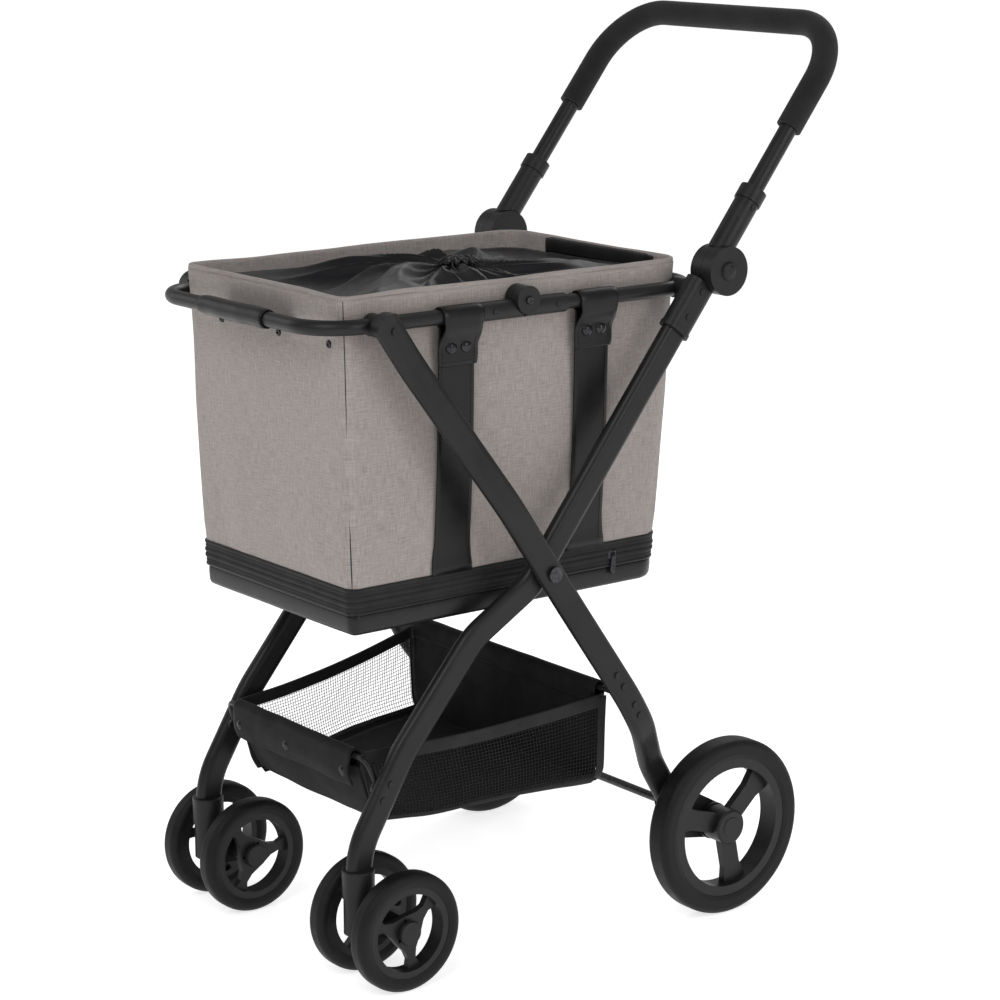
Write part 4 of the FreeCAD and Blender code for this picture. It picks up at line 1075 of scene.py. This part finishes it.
def screw(name, centre, axis, radius, material=BOLT_STEEL):
    """Pan-head screw with a round recess in its head, seen from outside."""
    dome = [(-0.8, 1.0), (0.1, 1.0), (0.7, 0.94), (1.15, 0.7), (1.25, 0.42), (0.75, 0.36),
            (0.7, 0.1)]
    return turned(name, [(a * radius * 0.6, r * radius) for a, r in dome], centre, axis,
                  material, 20)


def fittings():
    """Hinge screws on the rim knuckles and caps on the handle joint buttons, by body."""
    made = []
    for name, side in SIDES:
        outward = (side, 0, 0)
        lo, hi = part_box(f"rim_knuckle_front_{name}")
        rear_lo, rear_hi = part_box(f"rim_knuckle_rear_{name}")
        x = max(abs(lo.x), abs(hi.x), abs(rear_lo.x), abs(rear_hi.x))
        centre = (side * (x + 0.2 * MM), HINGE.y, HINGE.z)
        made.append((screw(f"hinge_screw_{name}", centre, outward, 4.6 * MM), OUTER_KNUCKLE))
        lo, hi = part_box(f"joint_button_{name}")
        made.append((button_cap(name, side, lo, hi), f"button_{name}"))
    return made


HINGE = Vector((0, -0.09345, 0.718))
OUTER_KNUCKLE = "rim_rear"


def button_cap(name, side, lo, hi):
    """Domed face with a recessed ring on the handle joint's push button."""
    centre = Vector((side * max(abs(lo.x), abs(hi.x)), (lo.y + hi.y) / 2, (lo.z + hi.z) / 2))
    radius = (hi.y - lo.y) / 2
    dome = [(-0.6, 0.98), (0.0, 0.98), (0.5, 0.9), (0.2, 0.8), (0.2, 0.74), (0.9, 0.66),
            (1.5, 0.45), (1.7, 0.15)]
    return turned(f"joint_button_cap_{name}", [(a * MM, r * radius) for a, r in dome], centre,
                  (side, 0, 0), JOINT_PLASTIC, 36)


# ---- assembly


def fold_up(made):
    """A bag piece rides on the front frame, with its own copy of its mesh."""
    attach(made, "front_frame")
    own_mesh(made)
    return made


def apply_all(made):
    """Turn a piece's modifiers into mesh, so that the piece is final."""
    view = bpy.context.evaluated_depsgraph_get()
    fresh = bpy.data.meshes.new_from_object(made.evaluated_get(view), depsgraph=view)
    made.modifiers.clear()
    made.data = fresh
    fresh.polygons.foreach_set("use_smooth", [True] * len(fresh.polygons))
    return made


def place_on_bag(*pieces):
    """Let each bag piece ride on the front frame."""
    for made, slot in pieces:
        fold_up(made)


def build_bag():
    walls, collar = apply_all(bag_walls()), bag_collar()
    zipper, bottom = apply_all(zip_band()), apply_all(bag_bottom())
    seams, cords, rings = corner_seams(), pipings(), eyelets()
    tacks, hem, slider = bar_tacks(), hem_stitching(), zip_slider()
    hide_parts("bag_shell")
    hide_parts("bag_zip")
    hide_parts("bag_base")
    place_on_bag((walls, "melange_cloth"), (collar, "melange_cloth"), (zipper, "zip_tape"),
                 (bottom, "base_coating"), (seams, "melange_cloth"), (cords, "base_coating"),
                 (rings, "bolt_steel"), (tacks, "melange_cloth"), (hem, "melange_cloth"),
                 (slider, "bolt_steel"))


def build_liner():
    cloth = apply_all(bag_liner())
    lock, tails = cord_lock()
    band = rear_webbing()
    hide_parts("bag_liner")
    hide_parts("cord_lock")
    place_on_bag((cloth, "liner_nylon"), (lock, "joint_plastic"), (tails, "liner_nylon"),
                 (band, "strap_leatherette"))


def build_straps():
    for place in ("front", "rear"):
        for name, side in SIDES:
            leather_band, snaps, threads = strap(place, name, side)
            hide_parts(f"strap_{place}_{name}")
            place_on_bag((leather_band, "strap_leatherette"), (snaps, "bolt_steel"),
                         (threads, "strap_leatherette"))
    flap = apply_all(rim_flap())
    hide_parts("rim_flap_front")
    fold_up(flap)


def build_basket():
    floor = apply_all(basket_floor())
    front_halves = (112 * MM, FRONT_HALF, FRONT_HALF - FRONT_TAPER)
    rear_halves = (168 * MM, REAR_HALF, REAR_HALF - REAR_TAPER)
    front_flap, front_panel = end_panel("basket_front", HOOP_FRONT, -1,
                                        HOOP_FRONT.y + SLANT + 2 * MM, 34 * MM, 3.0, front_halves)
    rear_flap, rear_panel = end_panel("basket_rear", HOOP_REAR, 1, HOOP_REAR.y - 3 * MM,
                                      30 * MM, 11.0, rear_halves)
    pieces = [(floor, "basket_cloth"), (apply_all(front_flap), "basket_cloth"),
              (apply_all(front_panel), "basket_cloth"), (apply_all(rear_flap), "basket_cloth"),
              (apply_all(rear_panel), "basket_cloth"),
              (flap_snaps("basket_front_snaps", HOOP_FRONT, -1, (-0.100, -0.008, 0.100), 17 * MM),
               "bolt_steel"),
              (flap_snaps("basket_rear_snaps", HOOP_REAR, 1, (-0.150, 0.0, 0.150), 17 * MM),
               "bolt_steel")]
    for name, side in SIDES:
        pieces.append((apply_all(open_mesh(f"basket_netting_{name}", side)), "basket_mesh"))
        pieces.append((apply_all(solid_side(f"basket_side_{name}", side)), "basket_cloth"))
        pieces.append((side_bindings(f"basket_binding_{name}", side), "basket_cloth"))
    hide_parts("basket_mesh")
    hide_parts("basket_panel_front")
    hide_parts("basket_panel_rear")
    for made, slot in pieces:
        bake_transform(made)


CAD_FINISH = {
    "handle_grip": GRIP_FOAM, "handle_tube": FRAME_PAINT, "rim_tube": FRAME_PAINT,
    "front_leg": FRAME_PAINT, "rear_leg_cap": JOINT_PLASTIC, "rear_leg": FRAME_PAINT,
    "joint_": JOINT_PLASTIC, "rim_knuckle": JOINT_PLASTIC, "rim_bracket": JOINT_PLASTIC,
    "axle_bracket": JOINT_PLASTIC, "caster_": JOINT_PLASTIC, "pivot_bolt": BOLT_STEEL,
    "rear_axle": BOLT_STEEL, "basket_hoop": WIRE_PAINT, "rear_tyre": TYRE_RUBBER,
    "front_tyre": TYRE_RUBBER, "rear_wheel": WHEEL_PLASTIC, "front_wheel": WHEEL_PLASTIC,
}


def dress_cad():
    """Give every CAD node that stays its procedural finish."""
    for node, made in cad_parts.items():
        for stem, material in CAD_FINISH.items():
            if node.startswith(stem):
                made.data.materials.clear()
                made.data.materials.append(material)
                break


def light(name, place, target, size, power, tint=(1, 1, 1)):
    lamp = bpy.data.lights.new(name, "AREA")
    lamp.shape = "RECTANGLE"
    lamp.size, lamp.size_y = size
    lamp.energy = power
    lamp.color = tint
    made = bpy.data.objects.new(name, lamp)
    bpy.context.scene.collection.objects.link(made)
    made.location = place
    made.rotation_euler = (Vector(target) - Vector(place)).to_track_quat("-Z", "Y").to_euler()


def studio():
    """Pale floor, soft lights and a white surround."""
    s = Shader("studio_floor", Roughness=0.9, Specular_IOR_Level=0.0)
    tone = s.spread(s.cloud(2.0), 0.3, 0.7)
    s.surface.inputs["Emission Color"].default_value = (1, 1, 1, 1)
    s.surface.inputs["Emission Strength"].default_value = 0.7
    s.dress(Base_Color=s.tint(tone, (0.80, 0.80, 0.80), (0.82, 0.82, 0.82)))
    reach = 60
    floor = piece("studio_floor", [(-reach, -reach, 0), (reach, -reach, 0), (reach, reach, 0),
                                   (-reach, reach, 0)], [(0, 1, 2, 3)], s.material)
    world = bpy.data.worlds.new("studio")
    bpy.context.scene.world = world
    world.use_nodes = True
    world.node_tree.nodes["Background"].inputs["Color"].default_value = (1, 1, 1, 1)
    world.node_tree.nodes["Background"].inputs["Strength"].default_value = 0.4
    light("key", (1.6, -2.6, 3.0), (0, 0, 0.5), (1.8, 1.8), 42)
    light("side", (3.4, 0.6, 1.9), (0, 0, 0.5), (1.2, 2.2), 30)
    light("back", (-1.4, 2.6, 2.6), (0, 0, 0.6), (2.0, 1.4), 25)
    light("left", (-2.8, -1.6, 1.8), (0, 0, 0.5), (1.4, 2.0), 12)
    bpy.context.scene.view_settings.view_transform = "Standard"


def camera():
    """The photograph's viewpoint: a long lens, a little above and to the front left."""
    lens = bpy.data.cameras.new("camera")
    lens.lens = 101.88
    lens.sensor_width = 36
    made = bpy.data.objects.new("camera", lens)
    bpy.context.scene.collection.objects.link(made)
    azimuth, lift = math.radians(52.21), math.radians(13.07)
    back = Vector((math.sin(azimuth) * math.cos(lift), -math.cos(azimuth) * math.cos(lift),
                   math.sin(lift)))
    made.location = (2.4614, -1.90645, 1.1819)
    made.rotation_mode = "QUATERNION"
    made.rotation_quaternion = (-back).to_track_quat("-Z", "Y")
    lens.clip_start, lens.clip_end = 0.05, 200
    bpy.context.scene.camera = made


random.seed(SEED)
dress_cad()
build_bag()
build_liner()
build_straps()
build_basket()
for fitting, body in fittings():
    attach(fitting, body)
studio()
camera()
